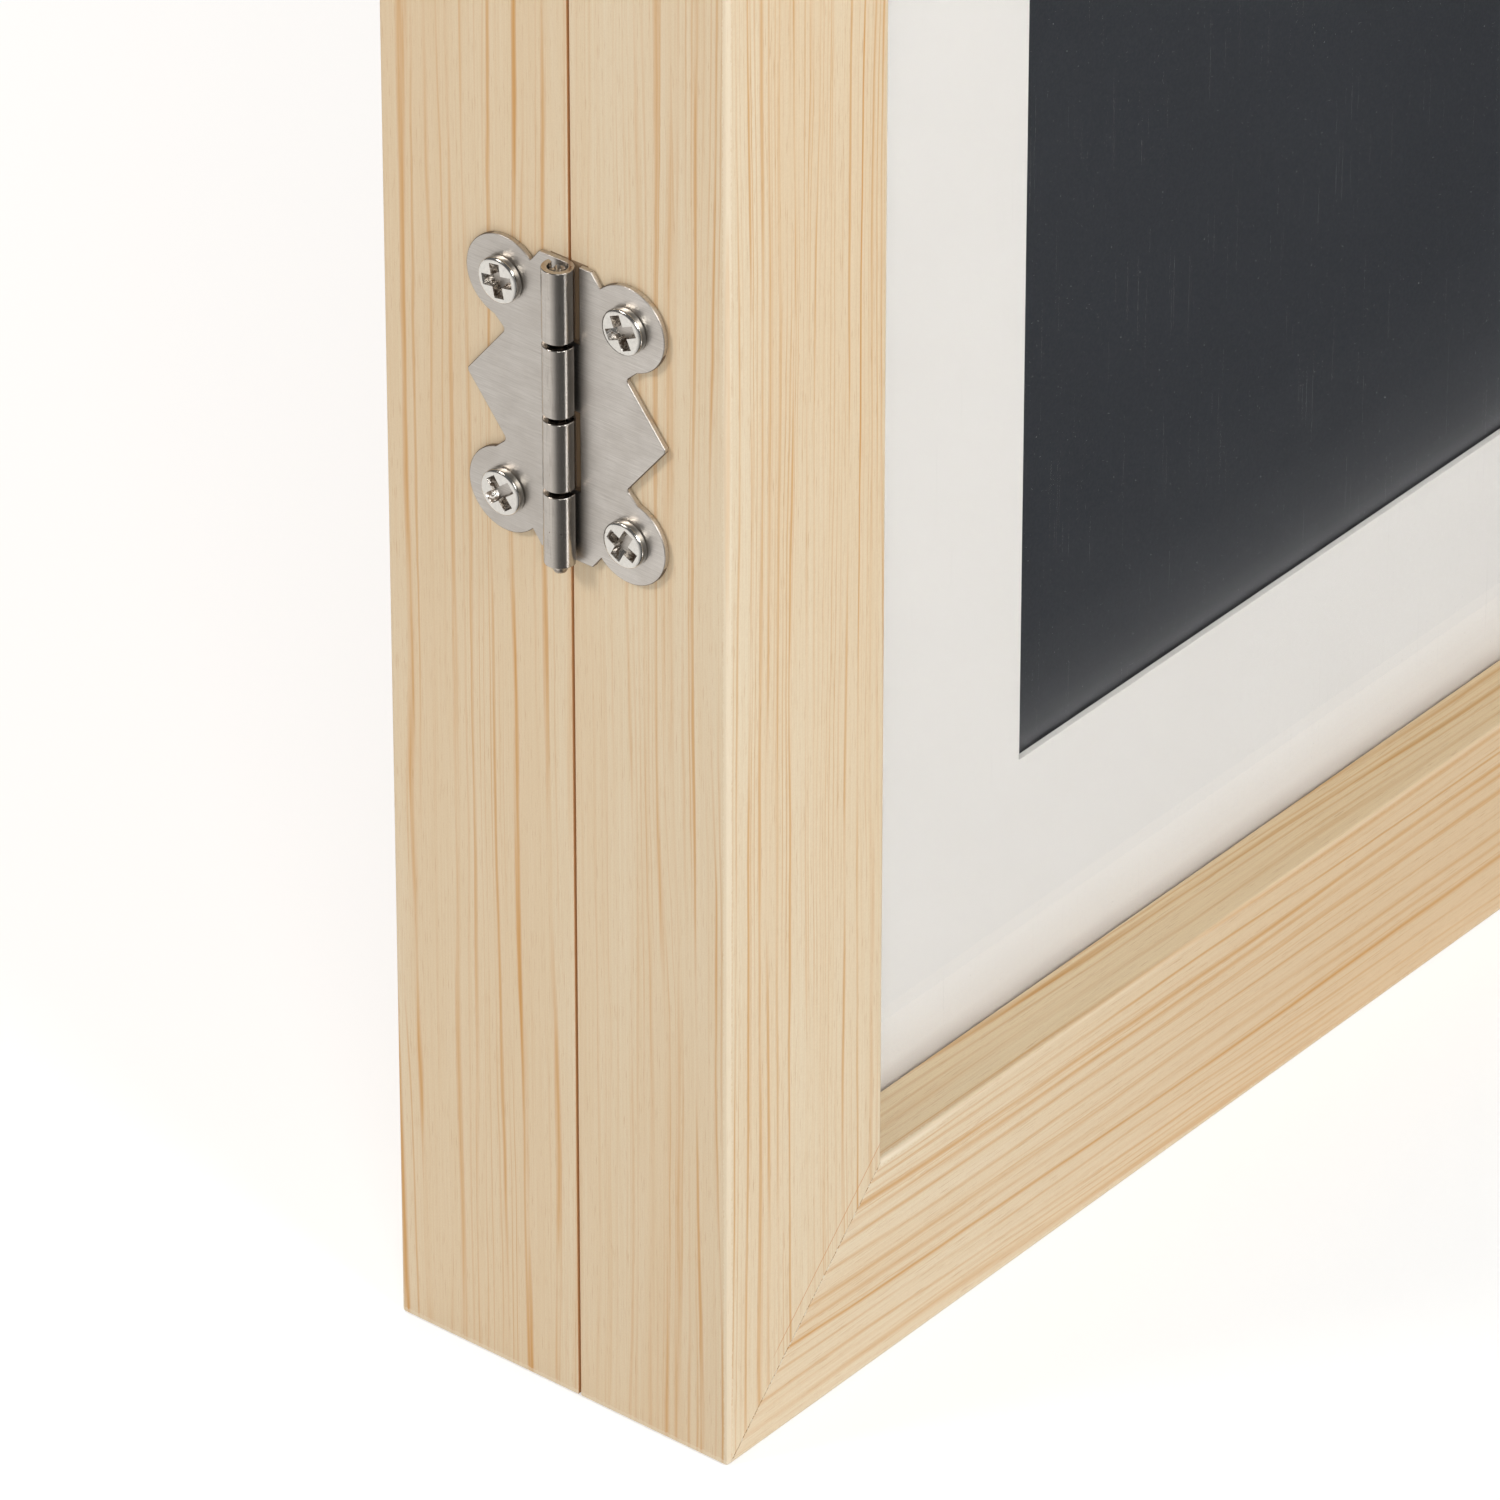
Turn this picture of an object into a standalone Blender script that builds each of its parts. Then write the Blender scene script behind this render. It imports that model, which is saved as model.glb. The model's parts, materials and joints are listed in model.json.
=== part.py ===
"""Front-opening frame for children's artwork, with a case behind it that keeps a stack of drawings.

Metres, +Z up. X runs across the frame, the front faces -Y and the hinges are on the left side, at -X.
The origin is the middle of the wooden frame's underside. The case is fixed, the door turns about the
hinge pins, and the backing board slides back into the case against four springs.
"""

import math

import bmesh
import bpy
from mathutils import Matrix, Vector

# Mat and its window
WINDOW_WIDTH = 0.203
WINDOW_HEIGHT = 0.269
MAT_BORDER_SIDE = 0.0268
MAT_BORDER_END = 0.0226
MAT_THICKNESS = 0.0006

# Glazing
GLAZING_THICKNESS = 0.001
GLAZING_RECESS = 0.0064
SHEET_GAP = 0.0001
SHEET_EDGE_GAP = 0.0005

# Wooden rails
RAIL_FACE = 0.0197
REBATE_WIDTH = 0.006
DOOR_DEPTH = 0.0157
CASE_DEPTH = 0.0191
CASE_WALL = 0.016
SEAM_GAP = 0.0002
MITRE_GAP = 0.0001
OUTER_ROUND = 0.0004
SEAM_ROUND = 0.00015
SIGHT_ROUND = 0.0003
ROUND_STEPS = 3

# Back panel
PANEL_THICKNESS = 0.003
PANEL_RECESS = 0.0011
PANEL_REBATE = 0.005

# Butterfly hinges
HINGE_INSET = 0.0946
LEAF_HEIGHT = 0.0268
LEAF_REACH = 0.010
LEAF_THICKNESS = 0.0005
LEAF_SEAT = 0.0001
LOBE_RADIUS = 0.00375
SHOULDER_REACH = 0.0026
SHOULDER_NOTCH_DEPTH = 0.0012
WAIST_REACH = 0.0061
WAIST_RISE = 0.005
LOBE_END_ANGLE = -75
TIP_FLAT = 0.0003
KNUCKLE_COUNT = 4
KNUCKLE_RADIUS = 0.00133
KNUCKLE_GAP = 0.00035
KNUCKLE_SIDE_GAP = 0.0001
ROLL_END_ANGLE = math.radians(-20)
PIN_CLEARANCE = 0.00008
PIN_TAIL = 0.001
PIN_SINK = 0.0005
PIN_END_ROUND = 0.0003

# Hinge screws
SCREW_HEAD_RADIUS = 0.002
SCREW_HEAD_RIM = 0.0005
SCREW_HEAD_HEIGHT = 0.0008
SCREW_SHANK_RADIUS = 0.001
SCREW_POINT = 0.0022
SCREW_TIP_COVER = 0.004
SCREW_SEAT = 0.00005
SCREW_CLEARANCE = 0.0001
RECESS_SPAN = 0.003
RECESS_WIDTH = 0.00085
RECESS_DEPTH = 0.00075
RECESS_FLOOR_SHARE = 0.55

# Retaining points, thin steel blades driven into the wood
POINT_WIDTH = 0.006
POINT_THICKNESS = 0.0005
POINT_REACH = 0.007
POINT_BURIED = 0.005
POINT_TIP = 0.002
POINT_CLEARANCE = 0.0001
POINT_SPACING = 0.170

# Magnetic catches
MAGNET_RADIUS = 0.003
MAGNET_THICKNESS = 0.003
STRIKE_RADIUS = 0.004
STRIKE_THICKNESS = 0.001
CATCH_SINK = 0.0001
CATCH_CLEARANCE = 0.0001
CATCH_EDGE = 0.0002

# Backing board and its corner straps
BOARD_THICKNESS = 0.003
BOARD_SIDE_GAP = 0.007
STRAP_THICKNESS = 0.0005
STRAP_GAP = 0.0001
STRAP_MAT_GAP = 0.0003
STRAP_INSET = 0.032
STRAP_WIDTH = 0.0085

# Springs behind the board
SPRING_WIRE = 0.0009
SPRING_BASE_RADIUS = 0.012
SPRING_TIP_RADIUS = 0.007
SPRING_TURNS = 5
SPRING_END_TURNS = 0.7
SPRING_POINTS_PER_TURN = 10
SPRING_EDGE_INSET = 0.030
SPRING_POCKET_DEPTH = 0.001
SPRING_POCKET_CLEARANCE = 0.0005
SPRING_SEAT = 0.0001

# Sawtooth hangers and their nails
HANGER_LENGTH = 0.042
HANGER_HEIGHT = 0.0095
HANGER_THICKNESS = 0.0008
HANGER_RISE = 0.0012
HANGER_BEND = 0.0025
HANGER_TOOTH = 0.0012
HANGER_TEETH = 9
HANGER_SEAT = 0.0001
NAIL_INSET = 0.0035
NAIL_RADIUS = 0.0006
NAIL_LENGTH = 0.009
NAIL_POINT = 0.0012
NAIL_HEAD_RADIUS = 0.0014
NAIL_HEAD_HEIGHT = 0.0005
NAIL_CLEARANCE = 0.0001

# Wall bumpers
BUMPER_RADIUS = 0.0035
BUMPER_HEIGHT = 0.0024
BUMPER_ROUND = 0.0016
BUMPER_EDGE = 0.0003
BUMPER_SEAT = 0.0001

# One overrun serves every cut, one distance merges doubled points, and the rest are facets of round pieces
CUT_OVERRUN = 0.001
MERGE_DISTANCE = 0.00001
SCREW_SEGMENTS = 16
PIN_SEGMENTS = 16
DISC_SEGMENTS = 20
KNUCKLE_STEPS = 16
LOBE_STEPS = 20
DOME_STEPS = 4
SMOOTH_ANGLE = math.radians(40)

# Sizes that follow
SIGHT_WIDTH = WINDOW_WIDTH + 2 * MAT_BORDER_SIDE
SIGHT_HEIGHT = WINDOW_HEIGHT + 2 * MAT_BORDER_END
OUTER_WIDTH = SIGHT_WIDTH + 2 * RAIL_FACE
OUTER_HEIGHT = SIGHT_HEIGHT + 2 * RAIL_FACE
DEPTH = DOOR_DEPTH + SEAM_GAP + CASE_DEPTH
DOOR_WALL = RAIL_FACE - REBATE_WIDTH
BACK_STRIP = CASE_WALL - PANEL_REBATE
CENTRE_Z = OUTER_HEIGHT / 2

FRONT_Y = -DEPTH / 2
DOOR_BACK_Y = FRONT_Y + DOOR_DEPTH
CASE_FRONT_Y = DOOR_BACK_Y + SEAM_GAP
BACK_Y = CASE_FRONT_Y + CASE_DEPTH
SEAM_Y = (DOOR_BACK_Y + CASE_FRONT_Y) / 2
GLAZING_Y = FRONT_Y + GLAZING_RECESS
LIP_BACK_Y = GLAZING_Y - SHEET_GAP
MAT_Y = GLAZING_Y + GLAZING_THICKNESS + SHEET_GAP
MAT_BACK_Y = MAT_Y + MAT_THICKNESS
DOOR_POINT_Y = MAT_BACK_Y + SHEET_GAP
STRAP_Y = MAT_BACK_Y + STRAP_MAT_GAP
BOARD_Y = STRAP_Y + STRAP_THICKNESS + STRAP_GAP
BOARD_BACK_Y = BOARD_Y + BOARD_THICKNESS
PANEL_BACK_Y = BACK_Y - PANEL_RECESS
PANEL_Y = PANEL_BACK_Y - PANEL_THICKNESS
LEDGE_Y = PANEL_Y - SHEET_GAP
PANEL_POINT_Y = PANEL_BACK_Y + SHEET_GAP

LEAF_EDGE = KNUCKLE_RADIUS + KNUCKLE_SIDE_GAP
PIN_RADIUS = KNUCKLE_RADIUS - LEAF_THICKNESS - PIN_CLEARANCE
SIDE_X = -OUTER_WIDTH / 2
PIN_X = SIDE_X - LEAF_SEAT - KNUCKLE_RADIUS
LOBE_CENTRE = LEAF_REACH - LOBE_RADIUS
LOBE_RISE = LEAF_HEIGHT / 2 - LOBE_RADIUS
SCREW_LENGTH = DOOR_WALL - SCREW_TIP_COVER + LEAF_THICKNESS
BOARD_WIDTH = OUTER_WIDTH - 2 * CASE_WALL - 2 * BOARD_SIDE_GAP
BOARD_HEIGHT = OUTER_HEIGHT - 2 * CASE_WALL - 2 * BOARD_SIDE_GAP

# Each side's turn about Y takes a piece's own +Z inwards from the frame's outer edge
SIDES = {
    "bottom": (0, Vector((0, 0, 0))),
    "left": (90, Vector((SIDE_X, 0, CENTRE_Z))),
    "top": (180, Vector((0, 0, OUTER_HEIGHT))),
    "right": (-90, Vector((-SIDE_X, 0, CENTRE_Z))),
}
SIDE_LENGTH = {
    "bottom": OUTER_WIDTH,
    "left": OUTER_HEIGHT,
    "top": OUTER_WIDTH,
    "right": OUTER_HEIGHT,
}
HINGES = {"lower": HINGE_INSET, "upper": OUTER_HEIGHT - HINGE_INSET}
LEAVES = {"case": 1, "door": -1}
RECESS_TURNS = {
    ("lower", "case", "top"): 10,
    ("lower", "door", "top"): 24,
    ("lower", "case", "low"): 38,
    ("lower", "door", "low"): 62,
    ("upper", "case", "top"): 51,
    ("upper", "door", "top"): 5,
    ("upper", "case", "low"): 73,
    ("upper", "door", "low"): 30,
}


def clear_scene():
    for obj in list(bpy.data.objects):
        bpy.data.objects.remove(obj, do_unlink=True)


def material(name, colour, roughness, metallic=0.0, alpha=1.0):
    made = bpy.data.materials.new(name)
    made.use_nodes = True
    shader = made.node_tree.nodes["Principled BSDF"]
    shader.inputs["Base Color"].default_value = (*colour, 1.0)
    shader.inputs["Roughness"].default_value = roughness
    shader.inputs["Metallic"].default_value = metallic
    shader.inputs["Alpha"].default_value = alpha
    made.diffuse_color = (*colour, alpha)
    return made


def empty(name, location):
    made = bpy.data.objects.new(name, None)
    made.location = location
    bpy.context.collection.objects.link(made)
    return made


def finish(name, bm, finish_material, smooth=False):
    """The mesh of bm as an object in the scene."""
    bmesh.ops.recalc_face_normals(bm, faces=bm.faces)
    mesh = bpy.data.meshes.new(name)
    bm.to_mesh(mesh)
    bm.free()
    if smooth:
        mesh.shade_smooth()
        mesh.set_sharp_from_angle(angle=SMOOTH_ANGLE)
    if finish_material:
        mesh.materials.append(finish_material)
    obj = bpy.data.objects.new(name, mesh)
    bpy.context.collection.objects.link(obj)
    return obj


def place(obj, location, parent=None, rotation=(0, 0, 0)):
    """Puts obj at a place of the frame, whatever it is parented to."""
    obj.rotation_euler = rotation
    obj.location = Vector(location)
    if parent:
        obj.parent = parent
        obj.location = Vector(location) - parent.location
    return obj


def place_on_side(obj, side, parent=None):
    turn, location = SIDES[side]
    return place(obj, location, parent, (0, math.radians(turn), 0))


def cut(target, bm, parent=None, location=(0, 0, 0), rotation=(0, 0, 0)):
    """Takes the closed shapes in bm out of target."""
    cutter = finish(target.name + "_cutter", bm, None)
    cutter.hide_render = True
    cutter.display_type = "WIRE"
    place(cutter, location, parent, rotation)
    boolean = target.modifiers.new("cut", "BOOLEAN")
    boolean.operation = "DIFFERENCE"
    boolean.solver = "EXACT"
    boolean.object = cutter


def extrude_outline(bm, points, depth):
    """A closed prism: the outline's points, and the same points moved by depth."""
    face = bm.faces.new([bm.verts.new(point) for point in points])
    made = bmesh.ops.extrude_face_region(bm, geom=[face])["geom"]
    moved = [item for item in made if isinstance(item, bmesh.types.BMVert)]
    bmesh.ops.translate(bm, verts=moved, vec=Vector(depth))
    return moved


def add_box(bm, low, high):
    outline = [
        (low[0], low[1], low[2]),
        (high[0], low[1], low[2]),
        (high[0], high[1], low[2]),
        (low[0], high[1], low[2]),
    ]
    extrude_outline(bm, outline, (0, 0, high[2] - low[2]))


def add_rod(bm, radius, start, end, segments=DISC_SEGMENTS):
    """A closed cylinder from start to end."""
    start, end = Vector(start), Vector(end)
    turn = (end - start).to_track_quat("Z", "Y").to_matrix().to_4x4()
    bmesh.ops.create_cone(
        bm,
        cap_ends=True,
        segments=segments,
        radius1=radius,
        radius2=radius,
        depth=(end - start).length,
        matrix=Matrix.Translation((start + end) / 2) @ turn,
    )


def arc(centre, radius, start, end, steps):
    """Points of a plane arc, both ends included. Angles are in degrees."""
    points = []
    for step in range(steps + 1):
        angle = math.radians(start + (end - start) * step / steps)
        across = centre[0] + radius * math.cos(angle)
        along = centre[1] + radius * math.sin(angle)
        points.append((across, along))
    return points


def turned(name, profile, segments, finish_material):
    """A profile of (radius, height) points turned about its own Z axis."""
    bm = bmesh.new()
    verts = [bm.verts.new((radius, 0, height)) for radius, height in profile]
    edges = [bm.edges.new(pair) for pair in zip(verts, verts[1:])]
    bmesh.ops.spin(
        bm,
        geom=verts + edges,
        cent=(0, 0, 0),
        axis=(0, 0, 1),
        angle=math.tau,
        steps=segments,
        use_merge=True,
    )
    bmesh.ops.remove_doubles(bm, verts=bm.verts, dist=MERGE_DISTANCE)
    return finish(name, bm, finish_material, smooth=True)


def door_profile():
    """Section of a door rail: distance in from the outer side, and depth."""
    sight_centre = (RAIL_FACE - SIGHT_ROUND, FRONT_Y + SIGHT_ROUND)
    return [
        *arc((OUTER_ROUND, FRONT_Y + OUTER_ROUND), OUTER_ROUND, 180, 270, ROUND_STEPS),
        *arc(sight_centre, SIGHT_ROUND, 270, 360, ROUND_STEPS),
        (RAIL_FACE, LIP_BACK_Y),
        (DOOR_WALL, LIP_BACK_Y),
        (DOOR_WALL, DOOR_BACK_Y),
        *arc((SEAM_ROUND, DOOR_BACK_Y - SEAM_ROUND), SEAM_ROUND, 90, 180, ROUND_STEPS),
    ]


def case_profile():
    """Section of a case rail, in the same terms."""
    return [
        *arc((SEAM_ROUND, CASE_FRONT_Y + SEAM_ROUND), SEAM_ROUND, 180, 270, ROUND_STEPS),
        (CASE_WALL, CASE_FRONT_Y),
        (CASE_WALL, LEDGE_Y),
        (BACK_STRIP, LEDGE_Y),
        (BACK_STRIP, BACK_Y),
        *arc((OUTER_ROUND, BACK_Y - OUTER_ROUND), OUTER_ROUND, 90, 180, ROUND_STEPS),
    ]


def mitred_rail(name, profile, side, wood, parent=None):
    """A rail along its own X, whose ends draw back with the distance from the outer edge."""
    length = SIDE_LENGTH[side]
    bm = bmesh.new()
    outline = [(-length / 2, depth, inward) for inward, depth in profile]
    extrude_outline(bm, outline, (length, 0, 0))
    mitre_shift = MITRE_GAP / math.sqrt(2)
    for vert in bm.verts:
        vert.co.x -= math.copysign(vert.co.z + mitre_shift, vert.co.x)
    return place_on_side(finish(name, bm, wood), side, parent)


def sheet(name, width, height, thickness, front_y, finish_material, parent=None):
    bm = bmesh.new()
    low = (-width / 2, 0, -height / 2)
    high = (width / 2, thickness, height / 2)
    add_box(bm, low, high)
    return place(finish(name, bm, finish_material), (0, front_y, CENTRE_Z), parent)


def retaining_point(name, side, along, wall, front_y, finish_material, parent=None):
    """A blade whose pointed end is in the wood and whose square end holds the sheets."""
    bm = bmesh.new()
    half = POINT_WIDTH / 2
    outline = [
        (along - half, front_y, wall + POINT_REACH),
        (along - half, front_y, wall - POINT_BURIED + POINT_TIP),
        (along, front_y, wall - POINT_BURIED),
        (along + half, front_y, wall - POINT_BURIED + POINT_TIP),
        (along + half, front_y, wall + POINT_REACH),
    ]
    extrude_outline(bm, outline, (0, POINT_THICKNESS, 0))
    return place_on_side(finish(name, bm, finish_material), side, parent)


def add_point_slit(bm, along, wall, front_y):
    half = POINT_WIDTH / 2 + POINT_CLEARANCE
    low = (along - half, front_y - POINT_CLEARANCE, wall - POINT_BURIED - POINT_CLEARANCE)
    high = (along + half, front_y + POINT_THICKNESS + POINT_CLEARANCE, wall + CUT_OVERRUN)
    add_box(bm, low, high)


def place_cut_on_side(target, bm, side, parent=None):
    turn, location = SIDES[side]
    cut(target, bm, parent, location, (0, math.radians(turn), 0))


def screw_places(leaf):
    """Hinge, end and (y, z) of each screw that holds one kind of leaf."""
    places = []
    for hinge, middle in HINGES.items():
        for end, sign in (("top", 1), ("low", -1)):
            across = SEAM_Y + LEAVES[leaf] * LOBE_CENTRE
            places.append((hinge, end, across, middle + sign * LOBE_RISE))
    return places


def add_screw_holes(bm, leaf):
    """Pilot holes for one rail's hinge screws, in the frame's own coordinates."""
    radius = SCREW_SHANK_RADIUS + SCREW_CLEARANCE
    depth = SCREW_LENGTH - LEAF_THICKNESS + SCREW_CLEARANCE
    for _, _, y, z in screw_places(leaf):
        start = (SIDE_X - CUT_OVERRUN, y, z)
        add_rod(bm, radius, start, (SIDE_X + depth, y, z), SCREW_SEGMENTS)


def catch_heights():
    return list(HINGES.values())


def add_catch_bores(bm, radius, thickness, face_y, inward):
    """Blind bores in a seam face. inward is 1 where the wood lies behind the face, else -1."""
    depth = inward * (thickness + CATCH_SINK + CATCH_CLEARANCE)
    for z in catch_heights():
        x = -SIDE_X - DOOR_WALL / 2
        start = (x, face_y - inward * CUT_OVERRUN, z)
        add_rod(bm, radius + CATCH_CLEARANCE, start, (x, face_y + depth, z))


def leaf_outline():
    """Butterfly outline as (reach from the pin, rise from mid-height): its upper half, then its lower."""
    top = LEAF_HEIGHT / 2
    notch_rise = top - SHOULDER_NOTCH_DEPTH
    lift = (notch_rise - LOBE_RISE) / LOBE_RADIUS
    notch_angle = 180 - math.degrees(math.asin(min(lift, 1)))
    lobe = arc((LOBE_CENTRE, LOBE_RISE), LOBE_RADIUS, notch_angle, LOBE_END_ANGLE, LOBE_STEPS)
    upper = [
        (LEAF_EDGE, top),
        (SHOULDER_REACH, top),
        *lobe,
        (WAIST_REACH, WAIST_RISE),
        (LEAF_REACH, TIP_FLAT / 2),
    ]
    lower = [(reach, -rise) for reach, rise in reversed(upper)]
    return upper, lower


def knuckle_spans(leaf):
    """Each (low, high) rise of the knuckles that one leaf carries, the case's first from the top."""
    spans = []
    for index in range(0 if leaf == "case" else 1, KNUCKLE_COUNT, 2):
        high = LEAF_HEIGHT * (KNUCKLE_COUNT / 2 - index) / KNUCKLE_COUNT
        low = LEAF_HEIGHT * (KNUCKLE_COUNT / 2 - index - 1) / KNUCKLE_COUNT
        if index > 0:
            high -= KNUCKLE_GAP / 2
        if index < KNUCKLE_COUNT - 1:
            low += KNUCKLE_GAP / 2
        spans.append((low, high))
    return spans


def knuckle_section():
    """Section of the rolled knuckle as (reach, lift off the wood), from the plate's underside to its top."""
    bore = KNUCKLE_RADIUS - LEAF_THICKNESS
    centre = (0, KNUCKLE_RADIUS)
    end = math.degrees(ROLL_END_ANGLE)
    outer = arc(centre, KNUCKLE_RADIUS, 270, end, KNUCKLE_STEPS)
    inner = arc(centre, bore, end, 270, KNUCKLE_STEPS)
    return outer + inner


def hinge_leaf(name, leaf, hinge, steel, parent=None):
    """One leaf: the flat butterfly plate with its knuckles rolled from the same sheet."""
    direction = LEAVES[leaf]
    bm = bmesh.new()
    known = {}

    def vert(reach, rise, lift):
        key = (reach, rise, lift)
        if key not in known:
            known[key] = bm.verts.new((-lift - LEAF_SEAT, direction * reach, rise))
        return known[key]

    upper, lower = leaf_outline()
    spans = knuckle_spans(leaf)
    rises = sorted({rise for span in spans for rise in span} | {-LEAF_HEIGHT / 2, LEAF_HEIGHT / 2})
    inner = [(LEAF_EDGE, rise) for rise in rises[1:-1]]
    outline = upper + lower + inner
    for lift in (0, LEAF_THICKNESS):
        bm.faces.new([vert(reach, rise, lift) for reach, rise in outline])
    closed = outline + outline[:1]
    for start, end in zip(closed, closed[1:]):
        rolled = (min(start[1], end[1]), max(start[1], end[1])) in spans
        if start[0] == end[0] == LEAF_EDGE and rolled:
            continue
        corners = (*start, 0), (*end, 0), (*end, LEAF_THICKNESS), (*start, LEAF_THICKNESS)
        bm.faces.new([vert(*corner) for corner in corners])
    section = [(LEAF_EDGE, 0), *knuckle_section(), (LEAF_EDGE, LEAF_THICKNESS)]
    for low, high in spans:
        for start, end in zip(section, section[1:]):
            reach, lift = start
            next_reach, next_lift = end
            corners = (
                (reach, low, lift),
                (next_reach, low, next_lift),
                (next_reach, high, next_lift),
                (reach, high, lift),
            )
            bm.faces.new([vert(*corner) for corner in corners])
        for rise in (low, high):
            bm.faces.new([vert(reach, rise, lift) for reach, lift in section])
    obj = finish(name, bm, steel, smooth=True)
    middle = HINGES[hinge]
    place(obj, (SIDE_X, SEAM_Y, middle), parent)

    holes = bmesh.new()
    radius = SCREW_SHANK_RADIUS + SCREW_CLEARANCE
    for rise in (LOBE_RISE, -LOBE_RISE):
        start = (CUT_OVERRUN, direction * LOBE_CENTRE, rise)
        end = (-LEAF_SEAT - LEAF_THICKNESS - CUT_OVERRUN, direction * LOBE_CENTRE, rise)
        add_rod(holes, radius, start, end, SCREW_SEGMENTS)
    cut(obj, holes, parent, (SIDE_X, SEAM_Y, middle))
    return obj


def hinge_pin(name, hinge, steel):
    """Pin with rounded ends: sunk in the top knuckle and showing a little below the lowest one."""
    top = LEAF_HEIGHT / 2 - PIN_SINK
    bottom = -LEAF_HEIGHT / 2 - PIN_TAIL
    inner = PIN_RADIUS - PIN_END_ROUND
    profile = [
        (0, bottom),
        *arc((inner, bottom + PIN_END_ROUND), PIN_END_ROUND, 270, 360, ROUND_STEPS),
        *arc((inner, top - PIN_END_ROUND), PIN_END_ROUND, 0, 90, ROUND_STEPS),
        (0, top),
    ]
    pin = turned(name, profile, PIN_SEGMENTS, steel)
    return place(pin, (PIN_X, SEAM_Y, HINGES[hinge]))


def add_cross(bm, turn):
    """The tapered cross of a driver's recess, cut down from the top of a head."""
    half = RECESS_WIDTH / 2
    arm = RECESS_SPAN / 2
    quarter = [(arm, -half), (arm, half), (half, half)]
    floor = SCREW_HEAD_HEIGHT - RECESS_DEPTH
    points = []
    for step in range(4):
        angle = math.radians(turn + 90 * step)
        cos, sin = math.cos(angle), math.sin(angle)
        for x, y in quarter:
            points.append((x * cos - y * sin, x * sin + y * cos, floor))
    opened = extrude_outline(bm, points, (0, 0, RECESS_DEPTH + CUT_OVERRUN))
    for vert in bm.verts:
        if vert not in opened:
            vert.co.x *= RECESS_FLOOR_SHARE
            vert.co.y *= RECESS_FLOOR_SHARE


def pan_head_screw(name, y, z, turn, steel, parent=None):
    rim = SCREW_HEAD_RIM
    dome = []
    for step in range(DOME_STEPS + 1):
        angle = math.radians(90 * step / DOME_STEPS)
        height = rim + (SCREW_HEAD_HEIGHT - rim) * math.sin(angle)
        dome.append((SCREW_HEAD_RADIUS * math.cos(angle), height))
    profile = [
        (0, -SCREW_LENGTH),
        (SCREW_SHANK_RADIUS, SCREW_POINT - SCREW_LENGTH),
        (SCREW_SHANK_RADIUS, 0),
        (SCREW_HEAD_RADIUS, 0),
        *dome[:-1],
        (0, SCREW_HEAD_HEIGHT),
    ]
    screw = turned(name, profile, SCREW_SEGMENTS, steel)
    place_at = (SIDE_X - LEAF_SEAT - LEAF_THICKNESS - SCREW_SEAT, y, z)
    outwards = (0, math.radians(-90), 0)
    place(screw, place_at, parent, outwards)
    recess = bmesh.new()
    add_cross(recess, turn)
    cut(screw, recess, parent, place_at, outwards)
    return screw


def disc(name, radius, thickness, x, y, z, finish_material, parent=None):
    """A flat disc with broken edges, its axis along Y and its first face at y."""
    profile = [
        (0, 0),
        (radius - CATCH_EDGE, 0),
        (radius, CATCH_EDGE),
        (radius, thickness - CATCH_EDGE),
        (radius - CATCH_EDGE, thickness),
        (0, thickness),
    ]
    obj = turned(name, profile, DISC_SEGMENTS, finish_material)
    return place(obj, (x, y, z), parent, (math.radians(-90), 0, 0))


def corner_strap(name, x_sign, z_sign, elastic, parent):
    """An elastic band round one corner of the board, across its front and back at 45 degrees."""
    bm = bmesh.new()
    half_width, half_height = BOARD_WIDTH / 2, BOARD_HEIGHT / 2
    board_middle = BOARD_Y + BOARD_THICKNESS / 2
    rings = []
    for inset in (STRAP_INSET, STRAP_INSET + STRAP_WIDTH):
        for proud in (STRAP_GAP, STRAP_GAP + STRAP_THICKNESS):
            side_end = (half_width + proud, half_height - inset - proud)
            top_end = (half_width - inset - proud, half_height + proud)
            front = BOARD_Y - proud - board_middle
            loop = []
            for end, depth in (
                (side_end, front),
                (top_end, front),
                (top_end, -front),
                (side_end, -front),
            ):
                loop.append(bm.verts.new((x_sign * end[0], depth, z_sign * end[1])))
            rings.append(loop)
    inner_a, outer_a, inner_b, outer_b = rings
    for first, second in ((inner_a, outer_a), (outer_a, outer_b), (outer_b, inner_b), (inner_b, inner_a)):
        for index in range(len(first)):
            after = (index + 1) % len(first)
            bm.faces.new([first[index], first[after], second[after], second[index]])
    return place(finish(name, bm, elastic), (0, board_middle, CENTRE_Z), parent)


def spring_places():
    half_width = BOARD_WIDTH / 2 - SPRING_EDGE_INSET
    half_height = BOARD_HEIGHT / 2 - SPRING_EDGE_INSET
    return {
        "lower_left": (-half_width, CENTRE_Z - half_height),
        "lower_right": (half_width, CENTRE_Z - half_height),
        "upper_left": (-half_width, CENTRE_Z + half_height),
        "upper_right": (half_width, CENTRE_Z + half_height),
    }


def add_spring_pockets(bm, coil_radius, face_y, floor_y):
    radius = coil_radius + SPRING_WIRE / 2 + SPRING_POCKET_CLEARANCE
    for x, z in spring_places().values():
        add_rod(bm, radius, (x, face_y, z), (x, floor_y, z))


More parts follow.
